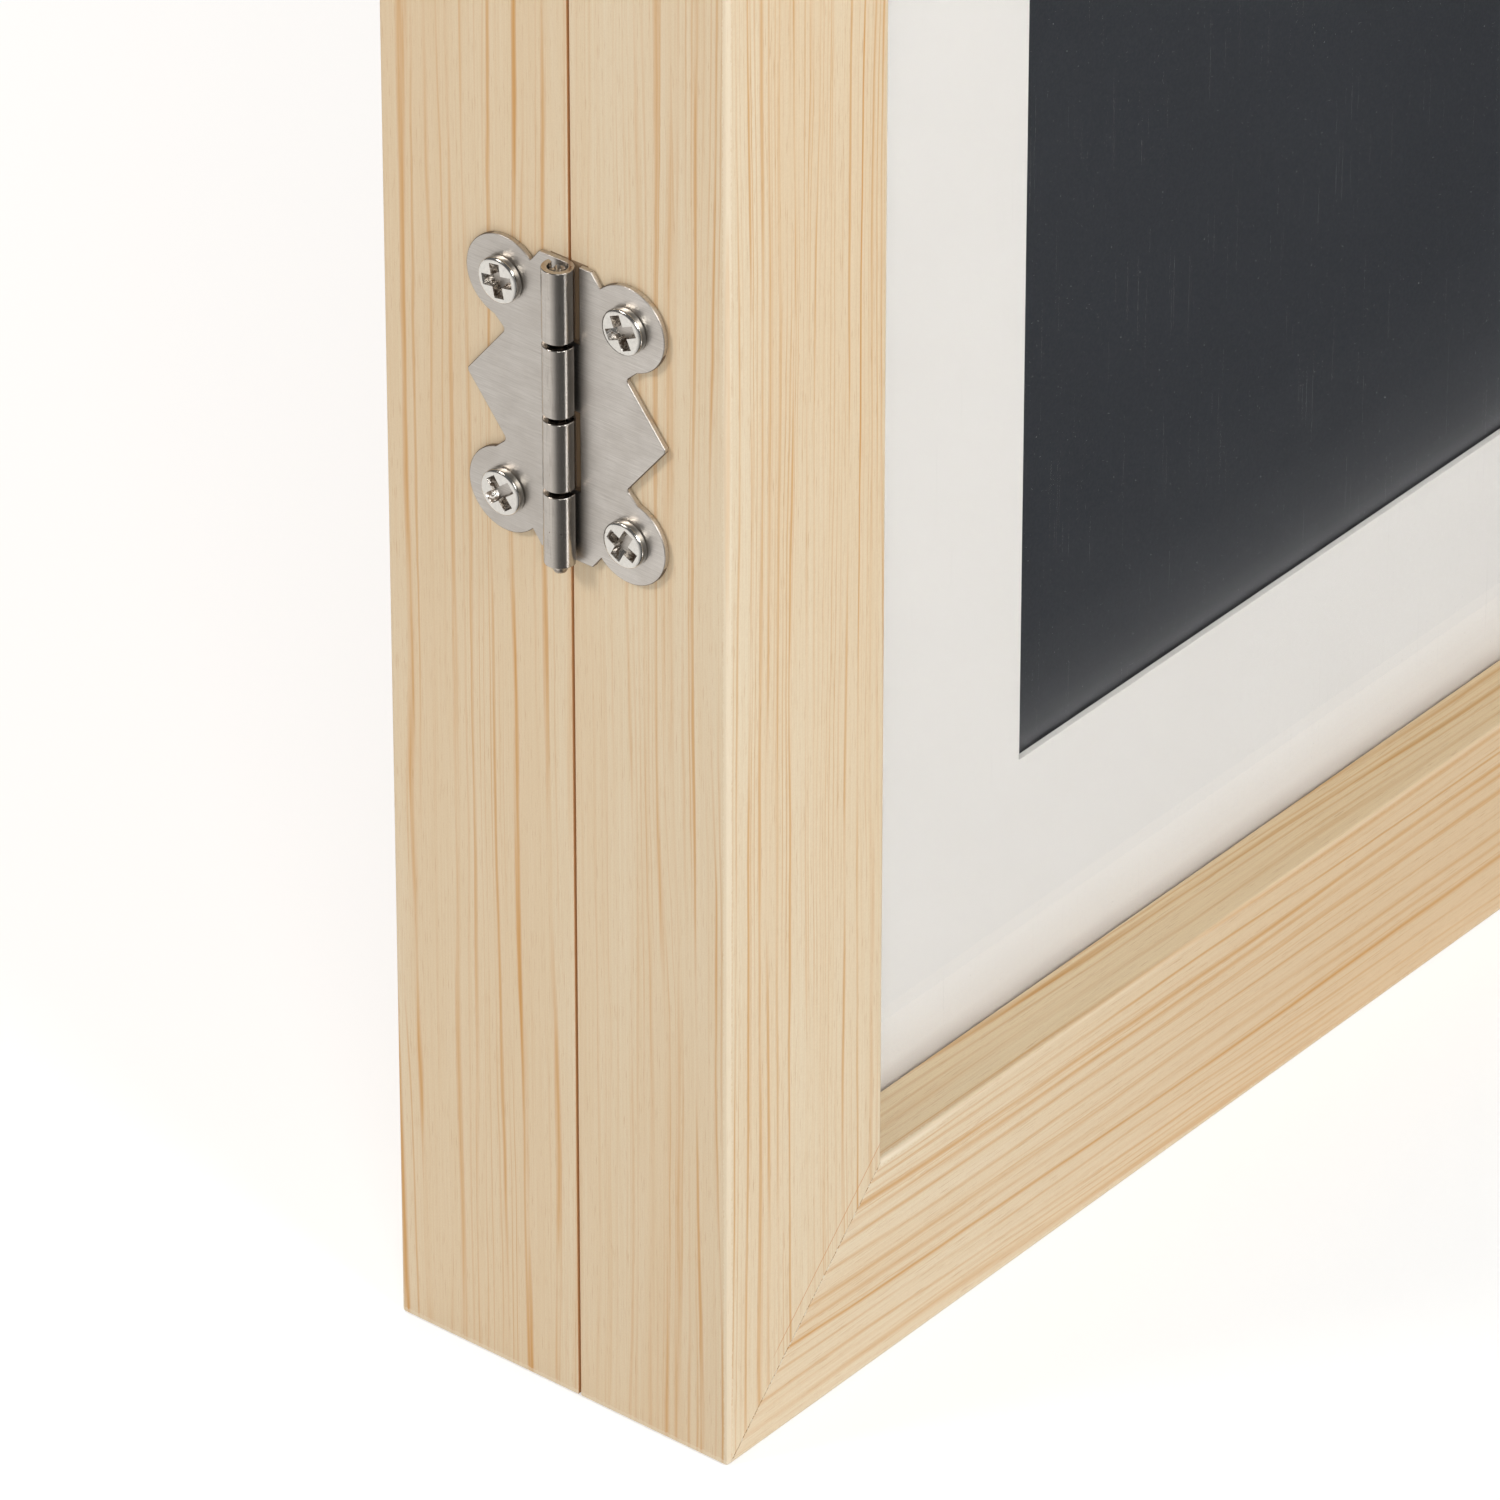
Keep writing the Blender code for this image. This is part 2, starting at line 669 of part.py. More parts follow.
def spring_points():
    """Centre line of a spring about its own axis: flat end turns and an even, narrowing rise between."""
    wire = SPRING_WIRE / 2
    base = PANEL_Y + SPRING_POCKET_DEPTH - SPRING_SEAT - wire
    tip = BOARD_BACK_Y - SPRING_POCKET_DEPTH + SPRING_SEAT + wire
    rising = SPRING_TURNS - 2 * SPRING_END_TURNS
    points = []
    for index in range(SPRING_TURNS * SPRING_POINTS_PER_TURN + 1):
        turns = index / SPRING_POINTS_PER_TURN
        climb_share = min(max((turns - SPRING_END_TURNS) / rising, 0), 1)
        radius = SPRING_BASE_RADIUS + (SPRING_TIP_RADIUS - SPRING_BASE_RADIUS) * climb_share
        depth = base + (tip - base) * climb_share
        angle = math.tau * turns
        points.append(Vector((radius * math.cos(angle), depth, radius * math.sin(angle))))
    return points


def least_self_gap(points):
    """Least clear distance between one turn of a spring and the next."""
    apart = SPRING_POINTS_PER_TURN // 2
    gaps = []
    for index, point in enumerate(points):
        gaps += [(point - other).length - SPRING_WIRE for other in points[index + apart :]]
    return min(gaps)


def cone_spring(name, x, z, points, steel):
    """A conical wire spring whose wide end sits in the back panel and whose narrow end is in the board."""
    curve = bpy.data.curves.new(name, "CURVE")
    curve.dimensions = "3D"
    curve.bevel_depth = SPRING_WIRE / 2
    curve.bevel_resolution = 1
    curve.use_fill_caps = True
    curve.materials.append(steel)
    spline = curve.splines.new("POLY")
    spline.points.add(len(points) - 1)
    for spline_point, point in zip(spline.points, points):
        spline_point.co = (*point, 1)
    obj = bpy.data.objects.new(name, curve)
    bpy.context.collection.objects.link(obj)
    return place(obj, (x, 0, z))


def hanger_stations():
    """(along, lift, tooth) across a hanger: flat ends, a raised middle and its row of teeth."""
    half = HANGER_LENGTH / 2
    ear = 2 * NAIL_INSET
    raised = half - ear - HANGER_BEND
    stations = [(-half, 0, 0), (ear - half, 0, 0)]
    for index in range(2 * HANGER_TEETH + 1):
        along = raised * (index / HANGER_TEETH - 1)
        stations.append((along, HANGER_RISE, HANGER_TOOTH * (index % 2)))
    stations += [(half - ear, 0, 0), (half, 0, 0)]
    return stations


def sawtooth_hanger(name, side, steel):
    """A stamped strip across a rail's back, its teeth towards the frame's middle."""
    bm = bmesh.new()
    low = (BACK_STRIP - HANGER_HEIGHT) / 2
    before = None
    first = None
    for along, lift, tooth in hanger_stations():
        near = BACK_Y + HANGER_SEAT + lift
        far = near + HANGER_THICKNESS
        high = low + HANGER_HEIGHT - tooth
        corners = ((along, near, low), (along, far, low), (along, far, high), (along, near, high))
        ring = [bm.verts.new(corner) for corner in corners]
        first = first or ring
        if before:
            for index in range(len(ring)):
                after = (index + 1) % len(ring)
                bm.faces.new([before[index], before[after], ring[after], ring[index]])
        before = ring
    bm.faces.new(first)
    bm.faces.new(before)
    obj = place_on_side(finish(name, bm, steel), side)
    holes = bmesh.new()
    for along in nail_places():
        start = (along, BACK_Y - CUT_OVERRUN, BACK_STRIP / 2)
        end = (along, BACK_Y + HANGER_THICKNESS + CUT_OVERRUN, BACK_STRIP / 2)
        add_rod(holes, NAIL_RADIUS + NAIL_CLEARANCE, start, end, SCREW_SEGMENTS)
    place_cut_on_side(obj, holes, side)
    return obj


def nail_places():
    inset = HANGER_LENGTH / 2 - NAIL_INSET
    return (-inset, inset)


def hanger_nail(name, side, along, steel):
    profile = [
        (0, -NAIL_LENGTH),
        (NAIL_RADIUS, NAIL_POINT - NAIL_LENGTH),
        (NAIL_RADIUS, 0),
        (NAIL_HEAD_RADIUS, 0),
        (NAIL_HEAD_RADIUS, NAIL_HEAD_HEIGHT),
        (0, NAIL_HEAD_HEIGHT),
    ]
    nail = turned(name, profile, SCREW_SEGMENTS, steel)
    turn, location = SIDES[side]
    turn_matrix = Matrix.Rotation(math.radians(turn), 3, "Y")
    head_y = BACK_Y + 2 * HANGER_SEAT + HANGER_THICKNESS
    at = location + turn_matrix @ Vector((along, head_y, BACK_STRIP / 2))
    return place(nail, at, None, (math.radians(-90), 0, 0))


def add_nail_holes(bm):
    for along in nail_places():
        start = (along, BACK_Y + CUT_OVERRUN, BACK_STRIP / 2)
        depth = NAIL_LENGTH - HANGER_THICKNESS - 2 * HANGER_SEAT + NAIL_CLEARANCE
        end = (along, BACK_Y - depth, BACK_STRIP / 2)
        add_rod(bm, NAIL_RADIUS + NAIL_CLEARANCE, start, end, SCREW_SEGMENTS)


def wall_bumper(name, x, z, rubber):
    """A low round pad with a rounded shoulder and a flat top."""
    centre = (BUMPER_RADIUS - BUMPER_ROUND, BUMPER_HEIGHT - BUMPER_ROUND)
    shoulder = arc(centre, BUMPER_ROUND, 0, 90, DOME_STEPS)
    profile = [(0, 0), (BUMPER_RADIUS, 0), *shoulder, (0, BUMPER_HEIGHT)]
    bumper = turned(name, profile, DISC_SEGMENTS, rubber)
    return place(bumper, (x, BACK_Y + BUMPER_SEAT, z), None, (math.radians(-90), 0, 0))


def build_case(mats):
    """The fixed box: four mitred rails, the back panel and what is fastened to them."""
    rails = {}
    for side in SIDES:
        rails[side] = mitred_rail("case_rail_" + side, case_profile(), side, mats["wood"])

    left = bmesh.new()
    add_screw_holes(left, "case")
    cut(rails["left"], left)
    right = bmesh.new()
    add_catch_bores(right, MAGNET_RADIUS, MAGNET_THICKNESS, CASE_FRONT_Y, 1)
    cut(rails["right"], right)
    for side in ("left", "right"):
        slits = bmesh.new()
        for along in (-POINT_SPACING / 2, POINT_SPACING / 2):
            add_point_slit(slits, along, BACK_STRIP, PANEL_POINT_Y)
        place_cut_on_side(rails[side], slits, side)
    for side in ("top", "left"):
        holes = bmesh.new()
        add_nail_holes(holes)
        place_cut_on_side(rails[side], holes, side)

    panel_margin = 2 * (BACK_STRIP + SHEET_EDGE_GAP)
    width, height = OUTER_WIDTH - panel_margin, OUTER_HEIGHT - panel_margin
    panel = sheet("back_panel", width, height, PANEL_THICKNESS, PANEL_Y, mats["fibreboard"])
    pockets = bmesh.new()
    start, floor = PANEL_Y - CUT_OVERRUN, PANEL_Y + SPRING_POCKET_DEPTH
    add_spring_pockets(pockets, SPRING_BASE_RADIUS, start, floor)
    cut(panel, pockets)
    for side in ("left", "right"):
        for end, along in (("a", -POINT_SPACING / 2), ("b", POINT_SPACING / 2)):
            name = f"panel_point_{side}_{end}"
            retaining_point(name, side, along, BACK_STRIP, PANEL_POINT_Y, mats["steel"])

    for z, end in zip(catch_heights(), ("lower", "upper")):
        x = -SIDE_X - DOOR_WALL / 2
        y = CASE_FRONT_Y + CATCH_SINK
        disc("catch_magnet_" + end, MAGNET_RADIUS, MAGNET_THICKNESS, x, y, z, mats["magnet"])

    for side, name in (("top", "hanger_portrait"), ("left", "hanger_landscape")):
        sawtooth_hanger(name, side, mats["steel"])
        for end, along in zip(("a", "b"), nail_places()):
            hanger_nail(f"{name}_nail_{end}", side, along, mats["steel"])

    bumper_inset = BACK_STRIP - BUMPER_EDGE - BUMPER_RADIUS
    for x_name, x_sign in (("left", -1), ("right", 1)):
        x = x_sign * (OUTER_WIDTH / 2 - bumper_inset)
        for z_name, z in (("lower", bumper_inset), ("upper", OUTER_HEIGHT - bumper_inset)):
            wall_bumper(f"wall_bumper_{z_name}_{x_name}", x, z, mats["rubber"])

    coil = spring_points()
    print(f"Least gap between a spring's turns: {least_self_gap(coil) * 1000:.2f} mm")
    for place_name, (x, z) in spring_places().items():
        cone_spring("board_spring_" + place_name, x, z, coil, mats["spring_steel"])


def build_hinges(mats, pivot):
    for hinge in HINGES:
        hinge_leaf(f"{hinge}_hinge_case_leaf", "case", hinge, mats["nickel"])
        hinge_leaf(f"{hinge}_hinge_door_leaf", "door", hinge, mats["nickel"], pivot)
        hinge_pin(f"{hinge}_hinge_pin", hinge, mats["nickel"])
    for leaf in LEAVES:
        parent = pivot if leaf == "door" else None
        for hinge, end, y, z in screw_places(leaf):
            name = f"{hinge}_hinge_{leaf}_screw_{end}"
            turn = RECESS_TURNS[hinge, leaf, end]
            pan_head_screw(name, y, z, turn, mats["screw_nickel"], parent)


def build_door(mats, pivot):
    """The front frame: four rebated rails that hold the glazing and the mat."""
    rails = {}
    for side in SIDES:
        name = "door_rail_" + side
        rails[side] = mitred_rail(name, door_profile(), side, mats["wood"], pivot)

    left = bmesh.new()
    add_screw_holes(left, "door")
    cut(rails["left"], left, pivot)
    right = bmesh.new()
    add_catch_bores(right, STRIKE_RADIUS, STRIKE_THICKNESS, DOOR_BACK_Y, -1)
    cut(rails["right"], right, pivot)

    points = {
        "left": (-POINT_SPACING / 2, POINT_SPACING / 2),
        "right": (-POINT_SPACING / 2, POINT_SPACING / 2),
        "top": (0,),
        "bottom": (0,),
    }
    for side, places in points.items():
        slits = bmesh.new()
        for end, along in zip(("a", "b"), places):
            add_point_slit(slits, along, DOOR_WALL, DOOR_POINT_Y)
            name = f"mat_point_{side}_{end}"
            retaining_point(name, side, along, DOOR_WALL, DOOR_POINT_Y, mats["steel"], pivot)
        place_cut_on_side(rails[side], slits, side, pivot)

    margin = 2 * (DOOR_WALL + SHEET_EDGE_GAP)
    width, height = OUTER_WIDTH - margin, OUTER_HEIGHT - margin
    sheet("glazing_sheet", width, height, GLAZING_THICKNESS, GLAZING_Y, mats["acrylic"], pivot)
    mat = sheet("mat_board", width, height, MAT_THICKNESS, MAT_Y, mats["mat"], pivot)
    window = bmesh.new()
    half_width, half_height = WINDOW_WIDTH / 2, WINDOW_HEIGHT / 2
    low = (-half_width, MAT_Y - CUT_OVERRUN, CENTRE_Z - half_height)
    high = (half_width, MAT_BACK_Y + CUT_OVERRUN, CENTRE_Z + half_height)
    add_box(window, low, high)
    cut(mat, window, pivot)

    for z, end in zip(catch_heights(), ("lower", "upper")):
        x = -SIDE_X - DOOR_WALL / 2
        y = DOOR_BACK_Y - CATCH_SINK - STRIKE_THICKNESS
        name = "catch_strike_" + end
        disc(name, STRIKE_RADIUS, STRIKE_THICKNESS, x, y, z, mats["steel"], pivot)


def build_board(mats, slide):
    """The backing board that presses the drawings to the mat, and its corner straps."""
    board = sheet(
        "backing_board", BOARD_WIDTH, BOARD_HEIGHT, BOARD_THICKNESS, BOARD_Y, mats["board"], slide
    )
    pockets = bmesh.new()
    start, floor = BOARD_BACK_Y + CUT_OVERRUN, BOARD_BACK_Y - SPRING_POCKET_DEPTH
    add_spring_pockets(pockets, SPRING_TIP_RADIUS, start, floor)
    cut(board, pockets, slide)
    for x_name, x_sign in (("left", -1), ("right", 1)):
        for z_name, z_sign in (("lower", -1), ("upper", 1)):
            name = f"corner_strap_{z_name}_{x_name}"
            corner_strap(name, x_sign, z_sign, mats["elastic"], slide)


def main():
    clear_scene()
    mats = {
        "wood": material("pale_wood", (0.72, 0.53, 0.33), 0.5),
        "fibreboard": material("fibreboard", (0.33, 0.22, 0.13), 0.8),
        "nickel": material("hinge_nickel", (0.47, 0.44, 0.40), 0.35, 1.0),
        "screw_nickel": material("screw_nickel", (0.72, 0.69, 0.65), 0.22, 1.0),
        "steel": material("zinc_steel", (0.55, 0.55, 0.54), 0.4, 1.0),
        "spring_steel": material("spring_steel", (0.42, 0.42, 0.43), 0.3, 1.0),
        "magnet": material("magnet", (0.60, 0.60, 0.60), 0.25, 1.0),
        "acrylic": material("clear_acrylic", (1.0, 1.0, 1.0), 0.05, 0.0, 0.12),
        "mat": material("off_white_card", (0.80, 0.77, 0.72), 0.85),
        "board": material("dark_board", (0.046, 0.050, 0.054), 0.35),
        "elastic": material("black_elastic", (0.02, 0.02, 0.02), 0.9),
        "rubber": material("clear_rubber", (0.62, 0.62, 0.60), 0.5),
    }
    door_pivot = empty("door_pivot", (PIN_X, SEAM_Y, 0))
    board_slide = empty("board_slide", (0, BOARD_Y, CENTRE_Z))
    build_case(mats)
    build_door(mats, door_pivot)
    build_hinges(mats, door_pivot)
    build_board(mats, board_slide)


main()
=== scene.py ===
"""Looks of the front-opening art frame: finishes, fine shapes, light and the camera.

Metres, in the model's own frame: +Z up, the front faces -Y, the hinges are at -X.
"""

import json
import math

import bmesh
import bpy
from mathutils import Matrix, Vector


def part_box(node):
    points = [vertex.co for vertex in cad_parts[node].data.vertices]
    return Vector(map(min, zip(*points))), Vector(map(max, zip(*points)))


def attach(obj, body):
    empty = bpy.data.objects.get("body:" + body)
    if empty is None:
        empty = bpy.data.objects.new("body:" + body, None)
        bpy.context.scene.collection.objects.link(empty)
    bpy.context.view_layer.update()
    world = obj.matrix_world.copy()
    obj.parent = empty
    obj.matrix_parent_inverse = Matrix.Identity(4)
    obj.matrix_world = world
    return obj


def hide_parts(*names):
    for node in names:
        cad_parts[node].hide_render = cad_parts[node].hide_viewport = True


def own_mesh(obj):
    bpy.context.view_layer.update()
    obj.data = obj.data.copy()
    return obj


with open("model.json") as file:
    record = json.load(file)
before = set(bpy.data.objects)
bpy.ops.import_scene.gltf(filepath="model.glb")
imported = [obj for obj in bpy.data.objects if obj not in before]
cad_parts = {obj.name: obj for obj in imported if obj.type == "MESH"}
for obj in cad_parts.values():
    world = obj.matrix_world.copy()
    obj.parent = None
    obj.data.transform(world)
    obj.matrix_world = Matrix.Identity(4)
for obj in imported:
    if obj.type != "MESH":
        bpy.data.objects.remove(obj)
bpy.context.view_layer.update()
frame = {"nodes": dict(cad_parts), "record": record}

MM = 0.001
BODY_OF = {node: body for body, nodes in frame["record"]["behaviour"]["bodies"].items() for node in nodes}
SLOT_OF = {part["node"]: part["material_slot"] for part in frame["record"]["subparts"]}


def srgb(red, green, blue):
    """A colour given as 0 to 255 per channel, as the linear values that shaders take."""
    channels = []
    for value in (red / 255, green / 255, blue / 255):
        channels.append(value / 12.92 if value <= 0.04045 else ((value + 0.055) / 1.055) ** 2.4)
    return (*channels, 1.0)


class Finish:
    """A node-based material, with short calls for the nodes that the finishes here share."""

    def __init__(self, name, colour, roughness, metallic=0.0):
        self.material = bpy.data.materials.new(name)
        self.material.use_nodes = True
        self.tree = self.material.node_tree
        self.shader = self.tree.nodes["Principled BSDF"]
        self.output = self.tree.nodes["Material Output"]
        self.set("Base Color", colour)
        self.set("Roughness", roughness)
        self.set("Metallic", metallic)
        coordinates = self.tree.nodes.new("ShaderNodeTexCoord").outputs["Object"]
        self.place = self.vector("SCALE", coordinates, scale=1 / MM)

    def set(self, socket, value):
        """A plain value or another node's output, into one of the shader's inputs."""
        self.feed(self.shader.inputs[socket], value)

    def feed(self, socket, value):
        """A plain value or another node's output, into any input."""
        if isinstance(value, bpy.types.NodeSocket):
            self.tree.links.new(value, socket)
        else:
            socket.default_value = value

    def vector(self, operation, first, second=None, scale=None):
        node = self.tree.nodes.new("ShaderNodeVectorMath")
        node.operation = operation
        self.feed(node.inputs[0], first)
        if second is not None:
            self.feed(node.inputs[1], second)
        if scale is not None:
            self.feed(node.inputs["Scale"], scale)
        return node.outputs["Value" if operation == "DOT_PRODUCT" else "Vector"]

    def math(self, operation, first, second=0.0, third=0.0):
        node = self.tree.nodes.new("ShaderNodeMath")
        node.operation = operation
        for socket, value in zip(node.inputs, (first, second, third)):
            self.feed(socket, value)
        return node.outputs[0]

    def product(self, first, *others):
        for other in others:
            first = self.math("MULTIPLY", first, other)
        return first

    def off(self, value, middle):
        """How far a value is from middle, on either side."""
        return self.math("ABSOLUTE", self.math("SUBTRACT", value, middle))

    def noise(self, stretch, detail=2.0, roughness=0.5, offset=(0, 0, 0), distortion=0.0):
        """Noise whose grains measure stretch millimetres: one number, or three along X, Y and Z."""
        if not isinstance(stretch, tuple):
            stretch = (stretch,) * 3
        moved = self.vector("ADD", self.place, offset)
        scaled = self.vector("DIVIDE", moved, stretch)
        node = self.tree.nodes.new("ShaderNodeTexNoise")
        self.feed(node.inputs["Vector"], scaled)
        self.feed(node.inputs["Scale"], 1.0)
        self.feed(node.inputs["Detail"], detail)
        self.feed(node.inputs["Roughness"], roughness)
        self.feed(node.inputs["Distortion"], distortion)
        return node.outputs["Fac"]

    def spots(self, size, share, offset=(0, 0, 0)):
        """1 inside scattered round spots of about size millimetres, that cover a share of the cells."""
        moved = self.vector("ADD", self.place, offset)
        node = self.tree.nodes.new("ShaderNodeTexVoronoi")
        self.feed(node.inputs["Vector"], self.vector("SCALE", moved, scale=0.25 / size))
        self.feed(node.inputs["Scale"], 1.0)
        chosen = self.tree.nodes.new("ShaderNodeSeparateColor")
        self.feed(chosen.inputs[0], node.outputs["Color"])
        near = self.ramp(node.outputs["Distance"], (0.08, 1), (0.14, 0))
        rare = self.math("LESS_THAN", chosen.outputs[0], share)
        return self.math("MULTIPLY", near, rare)

    def random(self, value):
        """An even random number for each whole value."""
        node = self.tree.nodes.new("ShaderNodeTexWhiteNoise")
        node.noise_dimensions = "1D"
        self.feed(node.inputs["W"], value)
        return node.outputs["Value"]

    def ramp(self, value, *stops):
        """Straight steps between (position, grey) stops."""
        node = self.tree.nodes.new("ShaderNodeValToRGB")
        self.feed(node.inputs[0], value)
        elements = node.color_ramp.elements
        while len(elements) < len(stops):
            elements.new(1.0)
        for element, (position, grey) in zip(elements, stops):
            element.position = position
            element.color = (grey, grey, grey, 1)
        return node.outputs[0]

    def mix(self, share, first, second):
        """The first colour at share 0 and the second at share 1."""
        node = self.tree.nodes.new("ShaderNodeMix")
        node.data_type = "RGBA"
        self.feed(node.inputs[0], share)
        self.feed(node.inputs[6], first)
        self.feed(node.inputs[7], second)
        return node.outputs[2]

    def clear(self):
        return self.tree.nodes.new("ShaderNodeBsdfTransparent")

    def choose(self, share, first, second):
        """Shows the first shader where share is 0 and the second where it is 1."""
        either = self.tree.nodes.new("ShaderNodeMixShader")
        self.feed(either.inputs[0], share)
        self.feed(either.inputs[1], first.outputs[0])
        self.feed(either.inputs[2], second.outputs[0])
        self.feed(self.output.inputs[0], either.outputs[0])

    def bump(self, height, depth):
        """Relief of depth millimetres from a 0 to 1 height."""
        node = self.tree.nodes.new("ShaderNodeBump")
        self.feed(node.inputs["Strength"], 1.0)
        self.feed(node.inputs["Distance"], depth * MM)
        self.feed(node.inputs["Height"], height)
        self.set("Normal", node.outputs["Normal"])


# The frame's main places, in millimetres

HALF_WIDTH = 148.0
HALF_HEIGHT = 176.8
FRONT_DEPTH = -17.5
SEAM_DEPTH = -1.7
SIGHT_HALF_WIDTH = 128.3
SIGHT_HALF_HEIGHT = 157.1
RAIL_WIDTH = 19.7
HINGE_FROM_MIDDLE = 82.2
LEAF_TOP = 13.4
WINDOW_LOW = 42.3

# Shade and glow painted on the mat and the board

MAT_SHADE_START = 1.4
MAT_SHADE_REACH = 7.0
GLOW_REACH = 20.0
GLOW_FADE = 7.0

# Wood: its lines, dashes, worn edges with painted highlights, joints, painted shadow by the pins and painted
# light on the lips, in millimetres or as shares

SEAM_STAIN = 0.14
SEAM_STAIN_REACH = 0.35
PIN_SHADOW_REACH = 1.9
PIN_SHADOW_SHARE = 0.75
SIDE_RATE = 0.8
LINE_DRIFT = 4.0
LINE_WAVER = 0.35
LEVEL_LINE_SHARE = 0.8
LIP_DEPTH = 0.05
LIP_PAINTED_LIGHT_SHARE = 0.36
LINE_SOFTNESS = 0.7
LINE_FAINTEST = 0.3
# Width of the coarse lines, strength of the faintest, and how much of a line shows in its breaks
UPRIGHT_LINES = (0.2, LINE_FAINTEST, 0.1)
LEVEL_LINES = (0.25, 0.5, 0.4)
LEVEL_TILT = 0.02
FINE_LINE = 0.085
FINE_SPACING_SHARE = 0.37
FINE_SHARE = 0.6
FINE_SEED = 40
RING_OFFSET = 7.3
GRAIN_OFFSETS = (31.7, 12.3, 47.1)
WARM_START = 12.0
WARM_REACH = 70.0
DASH_SHARE = 0.45
MITRE_LINE = 0.02
MITRE_WAVER = 0.14
OVERLAP_OFFSET = 2.0
OVERLAP_LINE = 0.07
WORN_HIGHLIGHT_WIDTH = 0.22
WORN_HIGHLIGHT_WAVER = 0.5
OUTER_WORN_HIGHLIGHT_SHARE = 0.45
SIGHT_WORN_HIGHLIGHT_SHARE = 0.12
CHIP_REACH = 12.0
WOOD_RELIEF = 0.012

# Metal and elastic

PLATE_ROUGHNESS = 0.38
KNUCKLE_ROUGHNESS = 0.22
KNUCKLE_DEPTH = -148.8
RIM_TURN = 0.3
PIN_SHADED_REACH = 12.6
RIM_SHADE_SHARE = 0.8
METAL_SPECKS = 0.05
METAL_DARKER = 0.72
ELASTIC_RIBS = 7.0

# Tones

LINE_TONE = srgb(215, 159, 88)
FIBRE_TONE = srgb(226, 194, 150)
DASH_TONE = srgb(204, 158, 108)
SPECKLE_TONE = srgb(204, 176, 142)
LIP_PAINTED_LIGHT_TONE = srgb(255, 232, 184)
WORN_HIGHLIGHT_TONE = srgb(247, 233, 208)
MITRE_DARK = srgb(190, 146, 102)
MITRE_BRIGHT = srgb(250, 240, 222)
OVERLAP_TONE = srgb(214, 148, 96)
PIN_SHADOW_TONE = srgb(120, 88, 60)
SEAM_TONE = srgb(208, 156, 106)
RIM_SHADE_TONE = srgb(98, 82, 70)
SPECK_TONE = srgb(84, 66, 52)


# Finishes


def split(finish):
    """The place's X, Y and Z in millimetres."""
    parts = finish.tree.nodes.new("ShaderNodeSeparateXYZ")
    finish.feed(parts.inputs[0], finish.place)
    return parts.outputs


def from_hinge_middle(finish, z):
    """Distance in millimetres from the nearer hinge's mid-height."""
    return finish.off(finish.off(z, HALF_HEIGHT), HINGE_FROM_MIDDLE)


class Rail:
    """Where a point is on a rail, as node outputs: millimetres from its edges, its mitre and the seam."""

    def __init__(self, finish, upright):
        self.upright = upright
        self.x, self.y, self.z = split(finish)
        self.from_side = finish.math("SUBTRACT", HALF_WIDTH, finish.math("ABSOLUTE", self.x))
        self.from_end = finish.math("SUBTRACT", HALF_HEIGHT, finish.off(self.z, HALF_HEIGHT))
        self.from_outside = self.from_side if upright else self.from_end
        self.from_sight = finish.off(self.from_outside, RAIL_WIDTH)
        self.from_mitre = finish.math("SUBTRACT", self.from_side, self.from_end)
        self.from_front = finish.math("SUBTRACT", self.y, FRONT_DEPTH)
        self.from_seam = finish.off(self.y, SEAM_DEPTH)


def growth_lines(finish, place, spacing, width, seed, faintest=LINE_FAINTEST):
    """Thin soft lines, one in each spacing of place, of uneven place, width and strength."""
    rings = finish.math("MULTIPLY_ADD", place, 1 / spacing, seed * RING_OFFSET)
    ring = finish.math("FLOOR", rings)

    def uneven(shift, spread, least):
        chance = finish.random(finish.math("ADD", ring, seed + shift))
        return finish.math("MULTIPLY_ADD", chance, spread, least)

    centre = uneven(0.0, 0.5, 0.25)
    half_width = uneven(0.3, width / spacing, width / spacing * 0.6)
    strength = uneven(0.6, 1 - faintest, faintest)
    from_centre = finish.off(finish.math("FRACT", rings), centre)
    inside = finish.math("SUBTRACT", 1.0, finish.math("DIVIDE", from_centre, half_width))
    line = finish.math("MAXIMUM", inside, 0.0)
    return finish.math("MULTIPLY", finish.math("POWER", line, LINE_SOFTNESS), strength)


def growth_streaks(finish, rail, grain, seed, spacing, calm):
    """Strength of a rail's growth lines: broken coarse ones, and patches of finer ones among them."""
    waver = finish.math("MULTIPLY", grain(110, 9), LINE_DRIFT)
    waver = finish.math("MULTIPLY_ADD", grain(16, 3), LINE_WAVER, waver)
    place = finish.math("ADD", rail.x if rail.upright else rail.z, finish.math("MULTIPLY", rail.y, SIDE_RATE))
    place = finish.math("ADD", place, waver)
    if not rail.upright:
        place = finish.math("MULTIPLY_ADD", rail.x, LEVEL_TILT, place)
    width, faintest, gap_share = UPRIGHT_LINES if rail.upright else LEVEL_LINES
    coarse = growth_lines(finish, place, spacing, width, seed, faintest)
    fine = growth_lines(finish, place, spacing * FINE_SPACING_SHARE, FINE_LINE, seed + FINE_SEED)
    broken = finish.ramp(grain(34, 0.8), (0.40, gap_share), (0.56, 1.0))
    patch = finish.ramp(grain(50, 2.0, detail=1.0), (0.42, 0.0), (0.6, 1.0))
    streak = finish.math("ADD", finish.product(coarse, broken), finish.product(fine, patch, FINE_SHARE))
    if calm:
        first, last = calm
        faded = finish.math("DIVIDE", finish.math("SUBTRACT", rail.y, last), first - last)
        streak = finish.product(streak, finish.ramp(faded, (0.0, 0.3), (1.0, 1.0)))
    return streak


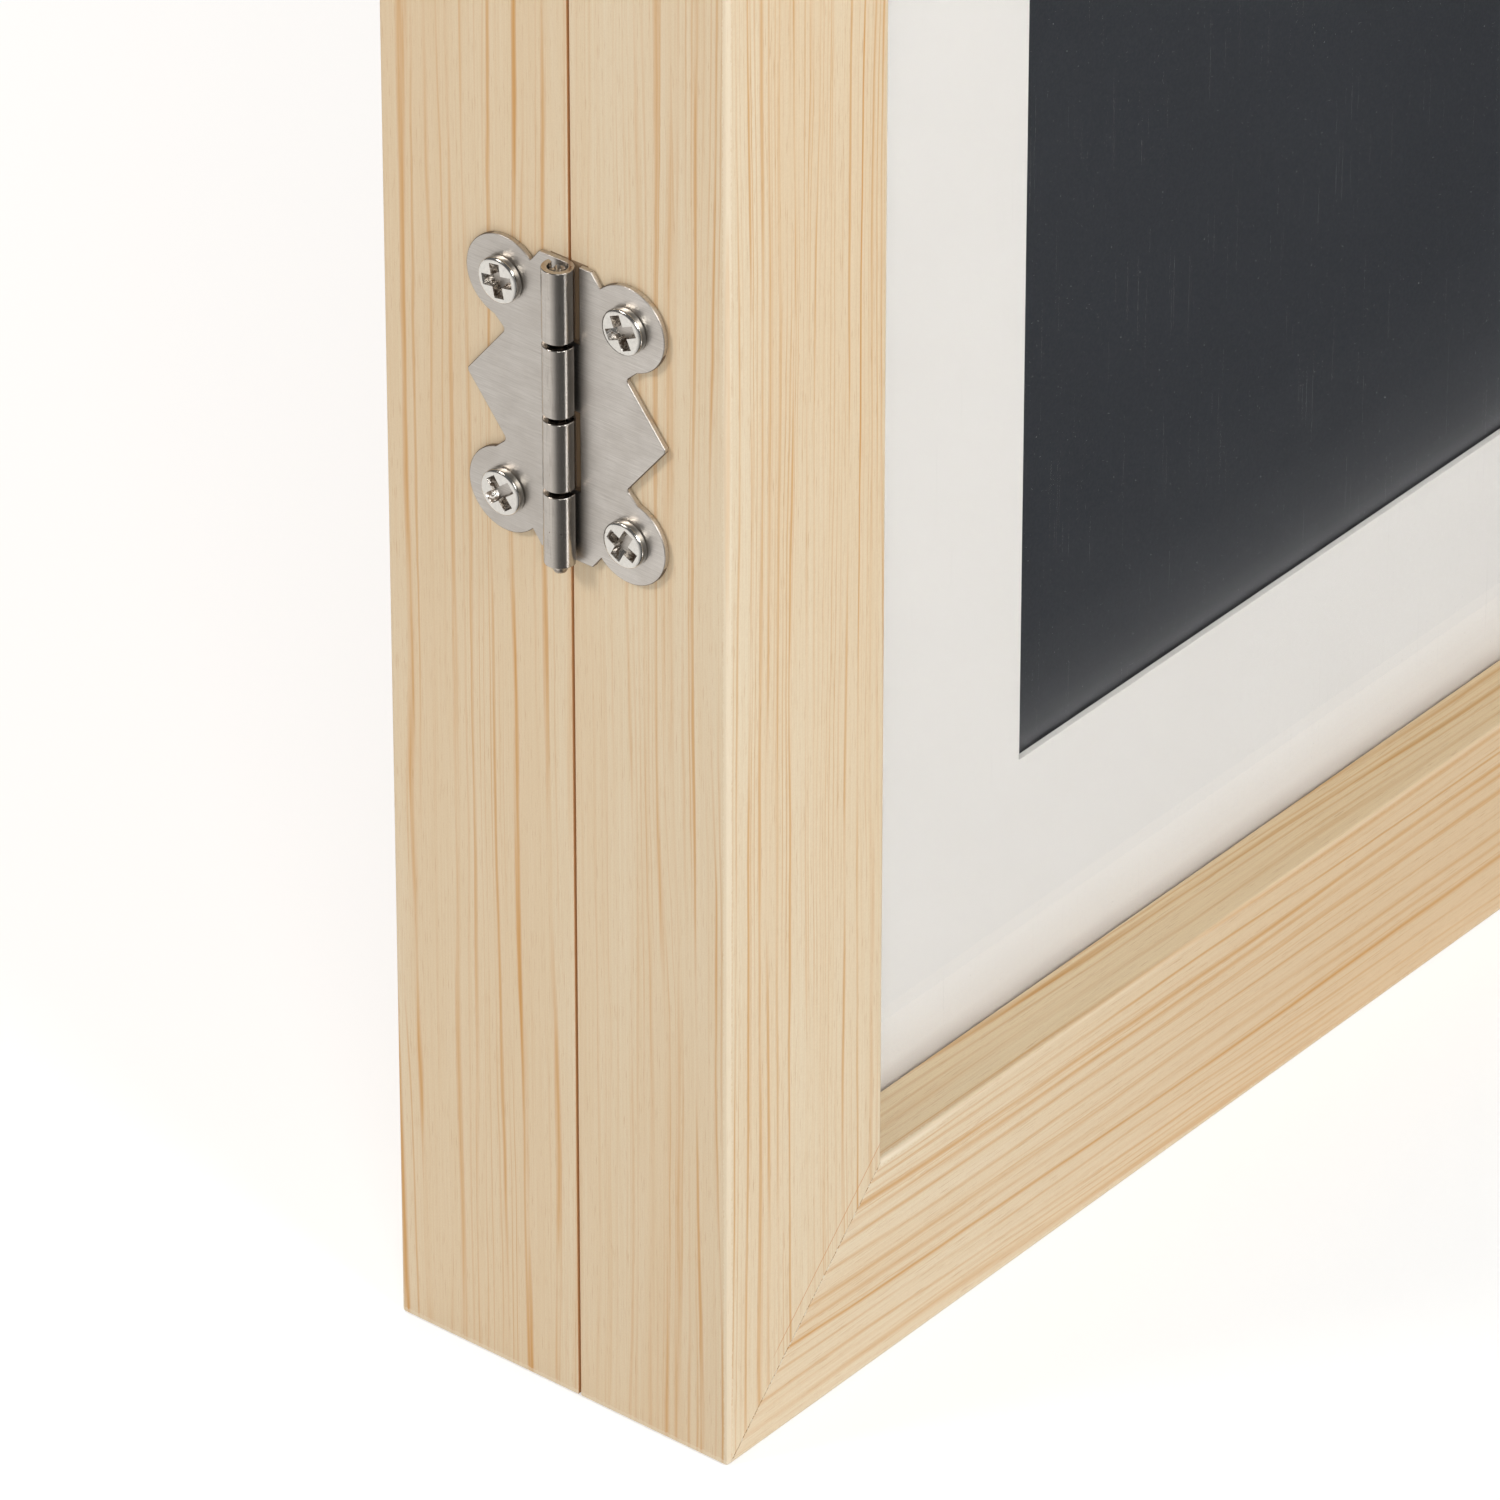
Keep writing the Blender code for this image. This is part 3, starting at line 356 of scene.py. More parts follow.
def rail_ground(finish, rail, grain, pale, warm):
    """The tone under the lines: pale and warm in long bands, and painted light on a level rail's lip, which
    is lifted lighter and yellower.
    """
    band = finish.ramp(grain(160, 9, detail=1.0), (0.35, 0.0), (0.68, 1.0))
    if rail.upright:
        return finish.mix(band, pale, warm)
    inward = finish.math("DIVIDE", finish.math("SUBTRACT", rail.from_side, WARM_START), WARM_REACH)
    inner = finish.ramp(inward, (0.0, 0.0), (1.0, 1.0))
    band = finish.math("MAXIMUM", inner, finish.product(band, 0.5))
    # Painted light: the inward lip face of a level rail is lifted towards a light yellow.
    on_lip = finish.product(finish.math("LESS_THAN", rail.from_sight, LIP_DEPTH), LIP_PAINTED_LIGHT_SHARE)
    return finish.mix(on_lip, finish.mix(band, pale, warm), LIP_PAINTED_LIGHT_TONE)


def worn_and_highlit_edges(finish, rail, flake, colour):
    """Lighter, uneven edges, most of all at the sight edge near a level rail's corners: wear chips near the
    corners and painted highlight along the edges.
    """
    reach = finish.math("MULTIPLY_ADD", flake, WORN_HIGHLIGHT_WAVER, WORN_HIGHLIGHT_WIDTH)
    sight_share = SIGHT_WORN_HIGHLIGHT_SHARE
    if not rail.upright:
        from_corner = finish.math("DIVIDE", finish.math("ABSOLUTE", rail.from_mitre), CHIP_REACH)
        sight_share = finish.ramp(from_corner, (0.0, 0.75), (0.6, 0.45), (1.0, SIGHT_WORN_HIGHLIGHT_SHARE))
    for first, second, share in (
        (rail.from_outside, rail.from_front, OUTER_WORN_HIGHLIGHT_SHARE),
        (rail.from_sight, rail.from_front, sight_share),
        (rail.from_side, rail.from_end, OUTER_WORN_HIGHLIGHT_SHARE),
    ):
        # The pale edge is wear near the corners and painted highlight along the rest.
        worn = finish.math("LESS_THAN", finish.math("ADD", first, second), reach)
        colour = finish.mix(finish.product(worn, share), colour, WORN_HIGHLIGHT_TONE)
    return colour


def mitre_joint(finish, rail, flake, colour):
    """The mitre's broken line, and on an upright rail the fainter line that runs beside half of it."""
    chip = finish.noise(0.7, detail=3.0)
    width = finish.math("MULTIPLY_ADD", flake, MITRE_WAVER, MITRE_LINE)
    on_mitre = finish.math("LESS_THAN", finish.math("ABSOLUTE", rail.from_mitre), width)
    shown = finish.product(on_mitre, finish.ramp(chip, (0.38, 0.15), (0.5, 0.9)))
    line = finish.mix(finish.ramp(flake, (0.46, 0.0), (0.5, 1.0)), MITRE_DARK, MITRE_BRIGHT)
    colour = finish.mix(shown, colour, line)
    if rail.upright:
        off_overlap = finish.math("ABSOLUTE", finish.math("ADD", rail.from_mitre, OVERLAP_OFFSET))
        on_overlap = finish.math("LESS_THAN", off_overlap, OVERLAP_LINE)
        along = finish.math("DIVIDE", rail.from_end, RAIL_WIDTH)
        inner_half = finish.ramp(along, (0.38, 0.0), (0.44, 0.75), (0.98, 0.75))
        colour = finish.mix(finish.product(on_overlap, inner_half), colour, OVERLAP_TONE)
    return colour


def seam_stain_and_pin_shadow(finish, rail, colour):
    """The stained line where door and case meet outside, and painted shadow of the knuckles on the wood
    beside the left hinge pins.
    """
    at_outside = finish.math("LESS_THAN", rail.from_outside, SEAM_STAIN_REACH)
    # Painted shadow: the wood beside the left hinge pins takes a deep brown where the knuckles shade it.
    if rail.upright:
        beside_pin = finish.math("LESS_THAN", rail.from_seam, PIN_SHADOW_REACH)
        by_knuckles = finish.math("LESS_THAN", from_hinge_middle(finish, rail.z), LEAF_TOP)
        on_left = finish.math("LESS_THAN", rail.x, 0.0)
        pin_shadow = finish.product(beside_pin, by_knuckles, at_outside, on_left, PIN_SHADOW_SHARE)
        colour = finish.mix(pin_shadow, colour, PIN_SHADOW_TONE)
    in_seam = finish.math("LESS_THAN", rail.from_seam, SEAM_STAIN)
    return finish.mix(finish.product(in_seam, at_outside), colour, SEAM_TONE)


def wood(name, upright, seed, pale, warm, spacing, calm=None):
    """Pale pine look of one rail: growth lines along it, faint fibres, dashes, worn edges with painted
    highlights, its joints, painted shadow beside the hinge pins and painted light on a level rail's lip.

    calm is the (first, last) depth in millimetres between which the lines on its side face fade away.
    """
    finish = Finish(name, pale, 0.6)
    rail = Rail(finish, upright)

    def grain(long_size, width, detail=2.0):
        stretch = (width, width, long_size) if upright else (long_size, width, width)
        return finish.noise(stretch, detail, offset=tuple(seed * rate for rate in GRAIN_OFFSETS))

    streak = growth_streaks(finish, rail, grain, seed, spacing, calm)
    fibres = grain(16, 0.16, detail=3.0)
    dashes = finish.ramp(grain(2.6, 0.075, detail=1.0), (0.64, 0.0), (0.72, 1.0))
    speckle = finish.noise(0.16)
    flake = finish.noise(0.3, offset=(7, 3, 5))
    colour = rail_ground(finish, rail, grain, pale, warm)
    colour = finish.mix(finish.ramp(fibres, (0.35, 0.0), (0.72, 0.34)), colour, FIBRE_TONE)
    colour = finish.mix(streak if upright else finish.product(streak, LEVEL_LINE_SHARE), colour, LINE_TONE)
    colour = finish.mix(finish.product(dashes, DASH_SHARE), colour, DASH_TONE)
    colour = finish.mix(finish.ramp(speckle, (0.35, 0.0), (0.75, 0.14)), colour, SPECKLE_TONE)
    colour = worn_and_highlit_edges(finish, rail, flake, colour)
    colour = mitre_joint(finish, rail, flake, colour)
    finish.set("Base Color", seam_stain_and_pin_shadow(finish, rail, colour))
    finish.set("Roughness", finish.ramp(fibres, (0.2, 0.5), (0.8, 0.66)))
    finish.set("Specular IOR Level", 0.3)
    finish.bump(finish.math("SUBTRACT", finish.product(fibres, 0.5), streak), WOOD_RELIEF)
    return finish.material


def metal(name, colour, roughness, lines, relief):
    """Metal with fine rub lines, whose grain measures lines millimetres, and a few dark specks."""
    finish = Finish(name, colour, roughness, metallic=1.0)
    rubbed = finish.noise(lines, detail=4.0, roughness=0.7)
    cloud = finish.noise(4, detail=3.0, offset=(9, 4, 2))
    dark = tuple(channel * METAL_DARKER for channel in colour[:3]) + (1.0,)
    shade = finish.mix(finish.ramp(rubbed, (0.35, 0.0), (0.7, 0.5)), colour, dark)
    shade = finish.mix(finish.ramp(cloud, (0.4, 0.0), (0.7, 0.25)), shade, dark)
    shade = finish.mix(finish.spots(0.1, METAL_SPECKS), shade, SPECK_TONE)
    finish.set("Base Color", shade)
    finish.set("Roughness", finish.ramp(rubbed, (0.3, roughness * 0.8), (0.75, roughness * 1.3)))
    finish.bump(rubbed, relief)
    return finish.material


def hinge_steel():
    """Nickelled sheet: satin plates brushed across, with painted shade on cut edges that face back or down, a
    door leaf painted lighter, and smoother drawn knuckles.
    """
    # The door leaf's tone is painted lighter than the case leaf's: painted light for the brighter light on
    # it.
    plate_tone, door_painted_light_tone, knuckle_tone = srgb(208, 203, 197), srgb(219, 214, 208), srgb(203, 197, 190)
    finish = Finish("hinge_finish", plate_tone, PLATE_ROUGHNESS, metallic=1.0)
    x, y, _ = split(finish)
    on_knuckle = finish.math("LESS_THAN", x, KNUCKLE_DEPTH)
    on_door = finish.math("LESS_THAN", y, SEAM_DEPTH)
    brushed = finish.noise((3, 2.6, 0.045), detail=4.0, roughness=0.75)
    drawn = finish.noise((0.16, 0.16, 2.6), detail=3.0, offset=(4, 8, 1))
    cloud = finish.noise(3, detail=3.0, offset=(9, 4, 2))
    tone = finish.mix(on_knuckle, finish.mix(on_door, plate_tone, door_painted_light_tone), knuckle_tone)
    shade = finish.mix(finish.ramp(brushed, (0.36, 0.0), (0.68, 0.42)), tone, srgb(150, 142, 133))
    shade = finish.mix(finish.ramp(cloud, (0.4, 0.0), (0.72, 0.3)), shade, srgb(168, 160, 151))
    shade = finish.mix(finish.spots(0.1, 0.1), shade, srgb(96, 74, 58))
    pits = finish.product(finish.ramp(drawn, (0.54, 0.0), (0.7, 0.22)), on_knuckle)
    shade = finish.mix(pits, shade, srgb(112, 104, 97))
    turned = finish.tree.nodes.new("ShaderNodeSeparateXYZ")
    finish.feed(turned.inputs[0], finish.tree.nodes.new("ShaderNodeTexCoord").outputs["Normal"])
    # Painted shade: cut edges of the plates that face back or down take a dark brown-grey, standing in for
    # their shade and dark reflections.
    backwards = finish.math("GREATER_THAN", turned.outputs[1], RIM_TURN)
    downwards = finish.math("LESS_THAN", turned.outputs[2], -RIM_TURN)
    on_plate = finish.math("SUBTRACT", 1.0, on_knuckle)
    rim_shade = finish.product(finish.math("MAXIMUM", backwards, downwards), on_plate, RIM_SHADE_SHARE)
    shade = finish.mix(rim_shade, shade, RIM_SHADE_TONE)
    finish.set("Base Color", shade)
    satin = finish.ramp(brushed, (0.3, PLATE_ROUGHNESS * 0.85), (0.75, PLATE_ROUGHNESS * 1.25))
    smooth = finish.ramp(drawn, (0.3, KNUCKLE_ROUGHNESS * 0.9), (0.75, KNUCKLE_ROUGHNESS * 1.15))
    finish.set("Roughness", finish.mix(on_knuckle, satin, smooth))
    finish.bump(brushed, 0.004)
    return finish.material


def pin_steel():
    """Steel pin: painted very dark inside the knuckles, as shade in the gaps between them, and bright at its
    two ends.
    """
    finish = Finish("pin_finish", srgb(170, 163, 155), 0.3, metallic=1.0)
    _, _, z = split(finish)
    grime = finish.noise(0.3, detail=3.0)
    # Painted shade on the pin where it sits inside the knuckles.
    inside = finish.math("LESS_THAN", from_hinge_middle(finish, z), PIN_SHADED_REACH)
    shade = finish.mix(finish.ramp(grime, (0.4, 0.0), (0.6, 1.0)), srgb(196, 190, 182), srgb(150, 141, 132))
    finish.set("Base Color", finish.mix(inside, shade, srgb(38, 33, 29)))
    finish.set("Roughness", finish.ramp(grime, (0.3, 0.2), (0.7, 0.42)))
    finish.bump(grime, 0.03)
    return finish.material


def screw_recess():
    """The inside of a screw's cross: the same metal, rougher, with patches of painted shade."""
    finish = Finish("recess_finish", srgb(190, 184, 176), 0.24, metallic=1.0)
    shade_patches = finish.noise(0.35, detail=3.0, offset=(2, 6, 4))
    # Painted shade: patches of the recess take a deep grey-brown.
    shade = finish.mix(finish.ramp(shade_patches, (0.47, 0.0), (0.6, 1.0)), srgb(222, 217, 210), srgb(118, 106, 95))
    finish.set("Base Color", shade)
    finish.set("Roughness", finish.ramp(shade_patches, (0.4, 0.18), (0.6, 0.45)))
    finish.bump(shade_patches, 0.04)
    return finish.material


def mat_card():
    """Off-white mat board with a faint paper tooth, and painted shade along the rails where they shade it."""
    finish = Finish("mat_card_finish", srgb(236, 233, 228), 0.85)
    tooth = finish.noise(0.16, detail=4.0)
    cloud = finish.noise(18, detail=2.0)
    rough = finish.ramp(tooth, (0.35, 0.0), (0.7, 0.3))
    shade = finish.mix(rough, srgb(200, 197, 192), srgb(191, 187, 181))
    shade = finish.mix(finish.ramp(cloud, (0.4, 0.0), (0.7, 0.2)), shade, srgb(195, 191, 185))
    x, _, z = split(finish)
    from_side = finish.math("SUBTRACT", SIGHT_HALF_WIDTH, finish.math("ABSOLUTE", x))
    from_end = finish.math("SUBTRACT", SIGHT_HALF_HEIGHT, finish.off(z, HALF_HEIGHT))
    inside = finish.math("MINIMUM", from_side, from_end)
    edge = finish.math("DIVIDE", finish.math("ADD", inside, MAT_SHADE_START), MAT_SHADE_REACH)
    # Painted shade: the mat deepens in tone towards its sight edges, where the rails shade it.
    painted_edge_shade = finish.ramp(edge, (0.0, 0.85), (0.16, 0.5), (0.42, 0.16), (1.0, 0.0))
    shade = finish.mix(painted_edge_shade, shade, srgb(158, 143, 128))
    finish.set("Base Color", shade)
    finish.set("Specular IOR Level", 0.2)
    finish.bump(tooth, 0.008)
    return finish.material


def slate_board():
    """Dark grey board with a fine matt tooth, faint clouds and a soft painted glow of light above the
    window's lower edge.
    """
    finish = Finish("slate_board_finish", srgb(44, 46, 49), 0.8)
    tooth = finish.noise(0.22, detail=3.0)
    cloud = finish.noise((30, 30, 40), detail=2.0)
    shade = finish.mix(finish.ramp(cloud, (0.3, 0.0), (0.7, 1.0)), srgb(39, 41, 44), srgb(41, 43, 46))
    shade = finish.mix(finish.ramp(tooth, (0.35, 0.0), (0.75, 0.35)), shade, srgb(55, 57, 60))
    _, _, z = split(finish)
    # Painted light: a soft glow on the board just above the window's lower edge, fading away below it.
    above = finish.math("SUBTRACT", z, WINDOW_LOW)
    glow_stops = (0.0, 1.0), (0.05, 0.6), (0.125, 0.38), (0.25, 0.22), (0.5, 0.08), (1.0, 0.0)
    glow = finish.ramp(finish.math("DIVIDE", above, GLOW_REACH), *glow_stops)
    behind_mat = finish.math("DIVIDE", above, -GLOW_FADE)
    glow = finish.product(glow, finish.ramp(behind_mat, (0.0, 1.0), (0.3, 0.4), (1.0, 0.0)))
    shade = finish.mix(glow, shade, srgb(84, 84, 85))
    finish.set("Base Color", shade)
    finish.set("Specular IOR Level", 0.1)
    finish.bump(tooth, 0.015)
    return finish.material


def hardboard():
    """Brown pressed fibreboard: short tangled fibres and a screened back."""
    finish = Finish("hardboard_finish", srgb(139, 101, 66), 0.7)
    fibres = finish.noise((0.35, 1, 1.4), detail=5.0, roughness=0.65, distortion=1.2)
    dots = finish.noise(0.7, detail=2.0, offset=(5, 1, 7))
    shade = finish.mix(finish.ramp(fibres, (0.35, 0.0), (0.68, 1.0)), srgb(150, 111, 74), srgb(118, 82, 51))
    shade = finish.mix(finish.ramp(dots, (0.5, 0.0), (0.72, 0.5)), shade, srgb(97, 66, 41))
    finish.set("Base Color", shade)
    finish.bump(fibres, 0.06)
    return finish.material


def elastic():
    """Black woven elastic, ribbed across the band, which runs at 45 degrees."""
    finish = Finish("elastic_finish", srgb(30, 30, 32), 0.85)
    x, _, z = split(finish)
    ribs = []
    for operation in ("ADD", "SUBTRACT"):
        turned = finish.math(operation, x, z)
        ribs.append(finish.math("SINE", finish.product(turned, ELASTIC_RIBS)))
    weave = finish.ramp(finish.product(*ribs), (0.0, 0.0), (1.0, 1.0))
    fuzz = finish.noise(0.12, detail=3.0)
    shade = finish.mix(weave, srgb(26, 26, 28), srgb(46, 46, 49))
    finish.set("Base Color", finish.mix(finish.ramp(fuzz, (0.5, 0.0), (0.8, 0.5)), shade, srgb(66, 66, 70)))
    finish.bump(weave, 0.08)
    return finish.material


def rubber():
    """Clear soft rubber of the wall bumpers, a little cloudy."""
    finish = Finish("clear_rubber_finish", srgb(226, 228, 228), 0.22)
    cloud = finish.noise(1.2, detail=3.0)
    finish.set("Transmission Weight", 0.6)
    finish.set("Base Color", finish.mix(cloud, srgb(214, 217, 218), srgb(236, 238, 238)))
    finish.set("Roughness", finish.ramp(cloud, (0.3, 0.16), (0.7, 0.32)))
    finish.bump(cloud, 0.01)
    return finish.material


def glazing():
    """Clear sheet that lets shadow rays pass, with dust and a few upright hairline scratches."""
    finish = Finish("glazing_finish", srgb(255, 255, 255), 0.0)
    finish.set("IOR", 1.18)
    dust = finish.math("MAXIMUM", finish.spots(0.07, 0.05), finish.spots(0.12, 0.02, (3, 0, 8)))
    hair = finish.ramp(finish.noise((0.08, 5, 18), detail=1.0), (0.74, 0.0), (0.76, 1.0))
    mark = finish.math("MAXIMUM", finish.product(dust, 0.45), finish.product(hair, 0.15))
    finish.set("Transmission Weight", finish.math("SUBTRACT", 1.0, finish.product(mark, 0.5)))
    finish.set("Roughness", finish.product(mark, 0.4))
    path = finish.tree.nodes.new("ShaderNodeLightPath")
    finish.choose(path.outputs["Is Shadow Ray"], finish.shader, finish.clear())
    return finish.material


FINISHES = {
    "fibreboard": hardboard(),
    "hinge_nickel": hinge_steel(),
    "screw_nickel": metal("screw_finish", srgb(232, 229, 223), 0.17, 0.3, 0.006),
    "zinc_steel": metal("zinc_finish", srgb(196, 199, 203), 0.34, (2, 0.3, 0.2), 0.006),
    "spring_steel": metal("spring_finish", srgb(176, 176, 178), 0.28, 0.2, 0.004),
    "magnet": metal("magnet_finish", srgb(150, 150, 152), 0.38, 0.8, 0.01),
    "clear_acrylic": glazing(),
    "mat_card": mat_card(),
    "dark_board": slate_board(),
    "black_elastic": elastic(),
    "clear_rubber": rubber(),
}
PIN_FINISH = pin_steel()
RECESS_FINISH = screw_recess()


# Fine shapes that stand for the CAD nodes


def keep_mesh(name, mesh, node, material, smooth_angle=35):
    """Makes a piece from a bmesh, dressed like the CAD node that it stands for."""
    bmesh.ops.recalc_face_normals(mesh, faces=mesh.faces)
    data = bpy.data.meshes.new(name)
    mesh.to_mesh(data)
    mesh.free()
    data.materials.append(material)
    data.shade_smooth()
    data.set_sharp_from_angle(angle=math.radians(smooth_angle))
    piece = bpy.data.objects.new(name, data)
    bpy.context.collection.objects.link(piece)
    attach(piece, BODY_OF[node])
    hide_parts(node)
    shading = piece.modifiers.new("shading", "WEIGHTED_NORMAL")
    shading.keep_sharp = True
    return piece


ALMOST = 0.1
SHORT_EDGE = 6.0
MITRE_EASE = 0.03
FRONT_EASE = 0.3
EDGE_WIDTHS = {
    "pale_wood": 0.06,
    "fibreboard": 0.15,
    "hinge_nickel": 0.11,
    "zinc_steel": 0.08,
    "magnet": 0.08,
    "mat_card": 0.04,
    "dark_board": 0.15,
    "black_elastic": 0.08,
    "clear_rubber": 0.12,
}
EASE_STEPS = 3
SHARP_ANGLE = math.radians(30)


def edge_width(node, edge):
    """How far an edge of a piece is eased, in millimetres, from where it lies."""
    slot = SLOT_OF[node]
    if slot != "pale_wood":
        return EDGE_WIDTHS[slot]
    run = edge.verts[1].co - edge.verts[0].co
    if run.length < SHORT_EDGE * MM:
        return 0.0
    along_rail = min(abs(run.x), abs(run.z)) < ALMOST * MM and abs(run.y) < ALMOST * MM
    if not along_rail:
        return MITRE_EASE
    at_front = all(vert.co.y < (FRONT_DEPTH + ALMOST) * MM for vert in edge.verts)
    return FRONT_EASE if at_front else EDGE_WIDTHS[slot]


def with_eased_edges(name, mesh, width_of):
    """The solid in mesh with its sharp edges eased, each by width_of(edge) millimetres."""
    weights = mesh.edges.layers.float.new("bevel_weight_edge")
    sharp = [edge for edge in mesh.edges if edge.is_manifold and edge.calc_face_angle() > SHARP_ANGLE]
    widest = max(width_of(edge) for edge in sharp)
    for edge in sharp:
        edge[weights] = width_of(edge) / widest
    data = bpy.data.meshes.new(name + "_blank")
    mesh.to_mesh(data)
    mesh.free()
    blank = bpy.data.objects.new(name + "_blank", data)
    bpy.context.collection.objects.link(blank)
    ease = blank.modifiers.new("ease", "BEVEL")
    ease.limit_method = "WEIGHT"
    ease.width = widest * MM
    ease.segments = EASE_STEPS
    result = bmesh.new()
    result.from_object(blank, bpy.context.evaluated_depsgraph_get())
    bpy.data.objects.remove(blank)
    return result


def eased(node, material):
    """A node's own shape with its sharp edges eased, some more than others."""
    mesh = bmesh.new()
    mesh.from_mesh(frame["nodes"][node].data)
    bmesh.ops.remove_doubles(mesh, verts=mesh.verts, dist=0.001 * MM)
    flat = math.radians(0.5)
    bmesh.ops.dissolve_limit(mesh, angle_limit=flat, verts=mesh.verts, edges=mesh.edges)
    result = with_eased_edges(node, mesh, lambda edge: edge_width(node, edge))
    return keep_mesh(node + "_surface", result, node, material)


def turned_mesh(profile, segments):
    """A closed solid of revolution round Z from (radius, height) points that start and end on the axis."""
    mesh = bmesh.new()
    rings = []
    for radius, height in profile[1:-1]:
        ring = []
        for index in range(segments):
            angle = math.tau * index / segments
            ring.append(mesh.verts.new((radius * math.cos(angle), radius * math.sin(angle), height)))
        rings.append(ring)
    ends = [mesh.verts.new((0, 0, height)) for _, height in (profile[0], profile[-1])]
    for index in range(segments):
        after = (index + 1) % segments
        mesh.faces.new((ends[0], rings[0][after], rings[0][index]))
        mesh.faces.new((ends[1], rings[-1][index], rings[-1][after]))
        for low, high in zip(rings, rings[1:]):
            mesh.faces.new((low[index], low[after], high[after], high[index]))
    return mesh


HEAD_PROFILE = (
    (0, -9.0), (1.0, -6.8), (1.0, 0.0), (1.93, 0.0), (1.99, 0.05), (2.0, 0.12), (2.0, 0.5), (1.97, 0.6),
    (1.88, 0.68), (1.7, 0.725), (1.3, 0.755), (0.7, 0.775), (0, 0.78),
)
HEAD_SEGMENTS = 48
RECESS_ARM = 1.62
RECESS_HALF_WIDTH = 0.5
RECESS_BOTTOM = -0.6
RECESS_TOP = 1.2
RECESS_REACH = 1.75
RECESS_RIM = 0.64
SCREW_WEAR = 0.045
SCREW_SHARP_ANGLE = math.radians(38)


def recess_mesh():
    """A driver's cross with sloping arms and walls, as the solid that is cut from a screw head."""
    mesh = bmesh.new()
    outlines = []
    for height, arm, half in (
        (RECESS_TOP, RECESS_ARM * 1.12, RECESS_HALF_WIDTH * 1.1),
        (RECESS_BOTTOM, RECESS_ARM * 0.36, RECESS_HALF_WIDTH * 0.62),
    ):
        ring = []
        for step in range(4):
            cos, sin = round(math.cos(math.tau * step / 4)), round(math.sin(math.tau * step / 4))
            for x, y in ((arm, -half), (arm, half), (half, half)):
                ring.append(mesh.verts.new((x * cos - y * sin, x * sin + y * cos, height)))
        outlines.append(ring)
    count = len(outlines[0])
    for index in range(count):
        after = (index + 1) % count
        mesh.faces.new((outlines[1][index], outlines[1][after], outlines[0][after], outlines[0][index]))
    mesh.faces.new(outlines[0])
    mesh.faces.new(outlines[1])
    return mesh


def screw_head_mesh():
    """A pan head screw in millimetres with its recess cut and all its edges a little worn."""
    objects = []
    solids = ("screw_blank", turned_mesh(HEAD_PROFILE, HEAD_SEGMENTS)), ("screw_cut", recess_mesh())
    for name, mesh in solids:
        bmesh.ops.recalc_face_normals(mesh, faces=mesh.faces)
        data = bpy.data.meshes.new(name)
        mesh.to_mesh(data)
        mesh.free()
        objects.append(bpy.data.objects.new(name, data))
        bpy.context.collection.objects.link(objects[-1])
    blank, cutter = objects
    cut = blank.modifiers.new("recess", "BOOLEAN")
    cut.object = cutter
    cut.solver = "EXACT"
    result = bmesh.new()
    result.from_object(blank, bpy.context.evaluated_depsgraph_get())
    for obj in objects:
        bpy.data.objects.remove(obj)
    worn = [edge for edge in result.edges if edge.is_manifold and edge.calc_face_angle() > SCREW_SHARP_ANGLE]
    bmesh.ops.bevel(
        result, geom=worn, offset=SCREW_WEAR, segments=2, profile=0.5, affect="EDGES", clamp_overlap=True
    )
    for face in result.faces:
        middle = face.calc_center_median()
        inside = middle.xy.length < RECESS_REACH and RECESS_BOTTOM * 1.1 < middle.z < RECESS_RIM
        face.material_index = int(inside and face.normal.z > -0.5)
    data = bpy.data.meshes.new("screw_pattern")
    result.to_mesh(data)
    result.free()
    return data


def screw(node, pattern, turn):
    """A hinge screw where its node is, with its head outwards along -X and its recess at that turn."""
    low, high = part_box(node)
    middle = (Vector(low) + Vector(high)) / 2
    seat = low[0] + HEAD_PROFILE[-1][1] * MM
    mesh = bmesh.new()
    mesh.from_mesh(pattern)
    outwards = Matrix.Rotation(math.radians(-90), 4, "Y") @ Matrix.Rotation(math.radians(turn), 4, "Z")
    mesh.transform(Matrix.Translation((seat, middle.y, middle.z)) @ outwards @ Matrix.Scale(MM, 4))
    piece = keep_mesh(node + "_surface", mesh, node, FINISHES["screw_nickel"])
    piece.data.materials.append(RECESS_FINISH)


LEAF_INNER = 1.43
LEAF_TIP = (10.0, 0.15)
LEAF_WAIST = (6.1, 5.0)
LEAF_THICKNESS = 0.5
LEAF_SEAT = 0.1
LOBE_CENTRE = (6.25, 9.65)
LOBE_RADIUS = 3.75
LOBE_ANGLES = (137.2, -75)
LOBE_STEPS = 64
SHOULDER = 2.6
WAIST_RADIUS = 0.4
KNUCKLE_RADIUS = 1.327
KNUCKLE_BORE = 0.83
KNUCKLE_END = -20
KNUCKLE_STEPS = 48
KNUCKLES = 4
KNUCKLE_HEIGHT = 6.7
KNUCKLE_GAP = 0.48


def arc(centre, radius, start, end, steps):
    """Points of a plane arc, both ends included. Angles are in degrees."""
    points = []
    for step in range(steps + 1):
        angle = math.radians(start + (end - start) * step / steps)
        points.append((centre[0] + radius * math.cos(angle), centre[1] + radius * math.sin(angle)))
    return points


def fillet(before, corner, after, radius, steps=8):
    """Points that round a corner of a plane outline."""
    corner = Vector(corner)
    back, on = (Vector(before) - corner).normalized(), (Vector(after) - corner).normalized()
    half = back.angle(on) / 2
    trim = radius / math.tan(half)
    centre = corner + (back + on).normalized() * radius / math.sin(half)
    first = corner + back * trim - centre
    sweep = math.degrees(first.angle_signed(corner + on * trim - centre))
    start = math.degrees(math.atan2(first.y, first.x))
    return arc(centre, radius, start, start - sweep, steps)


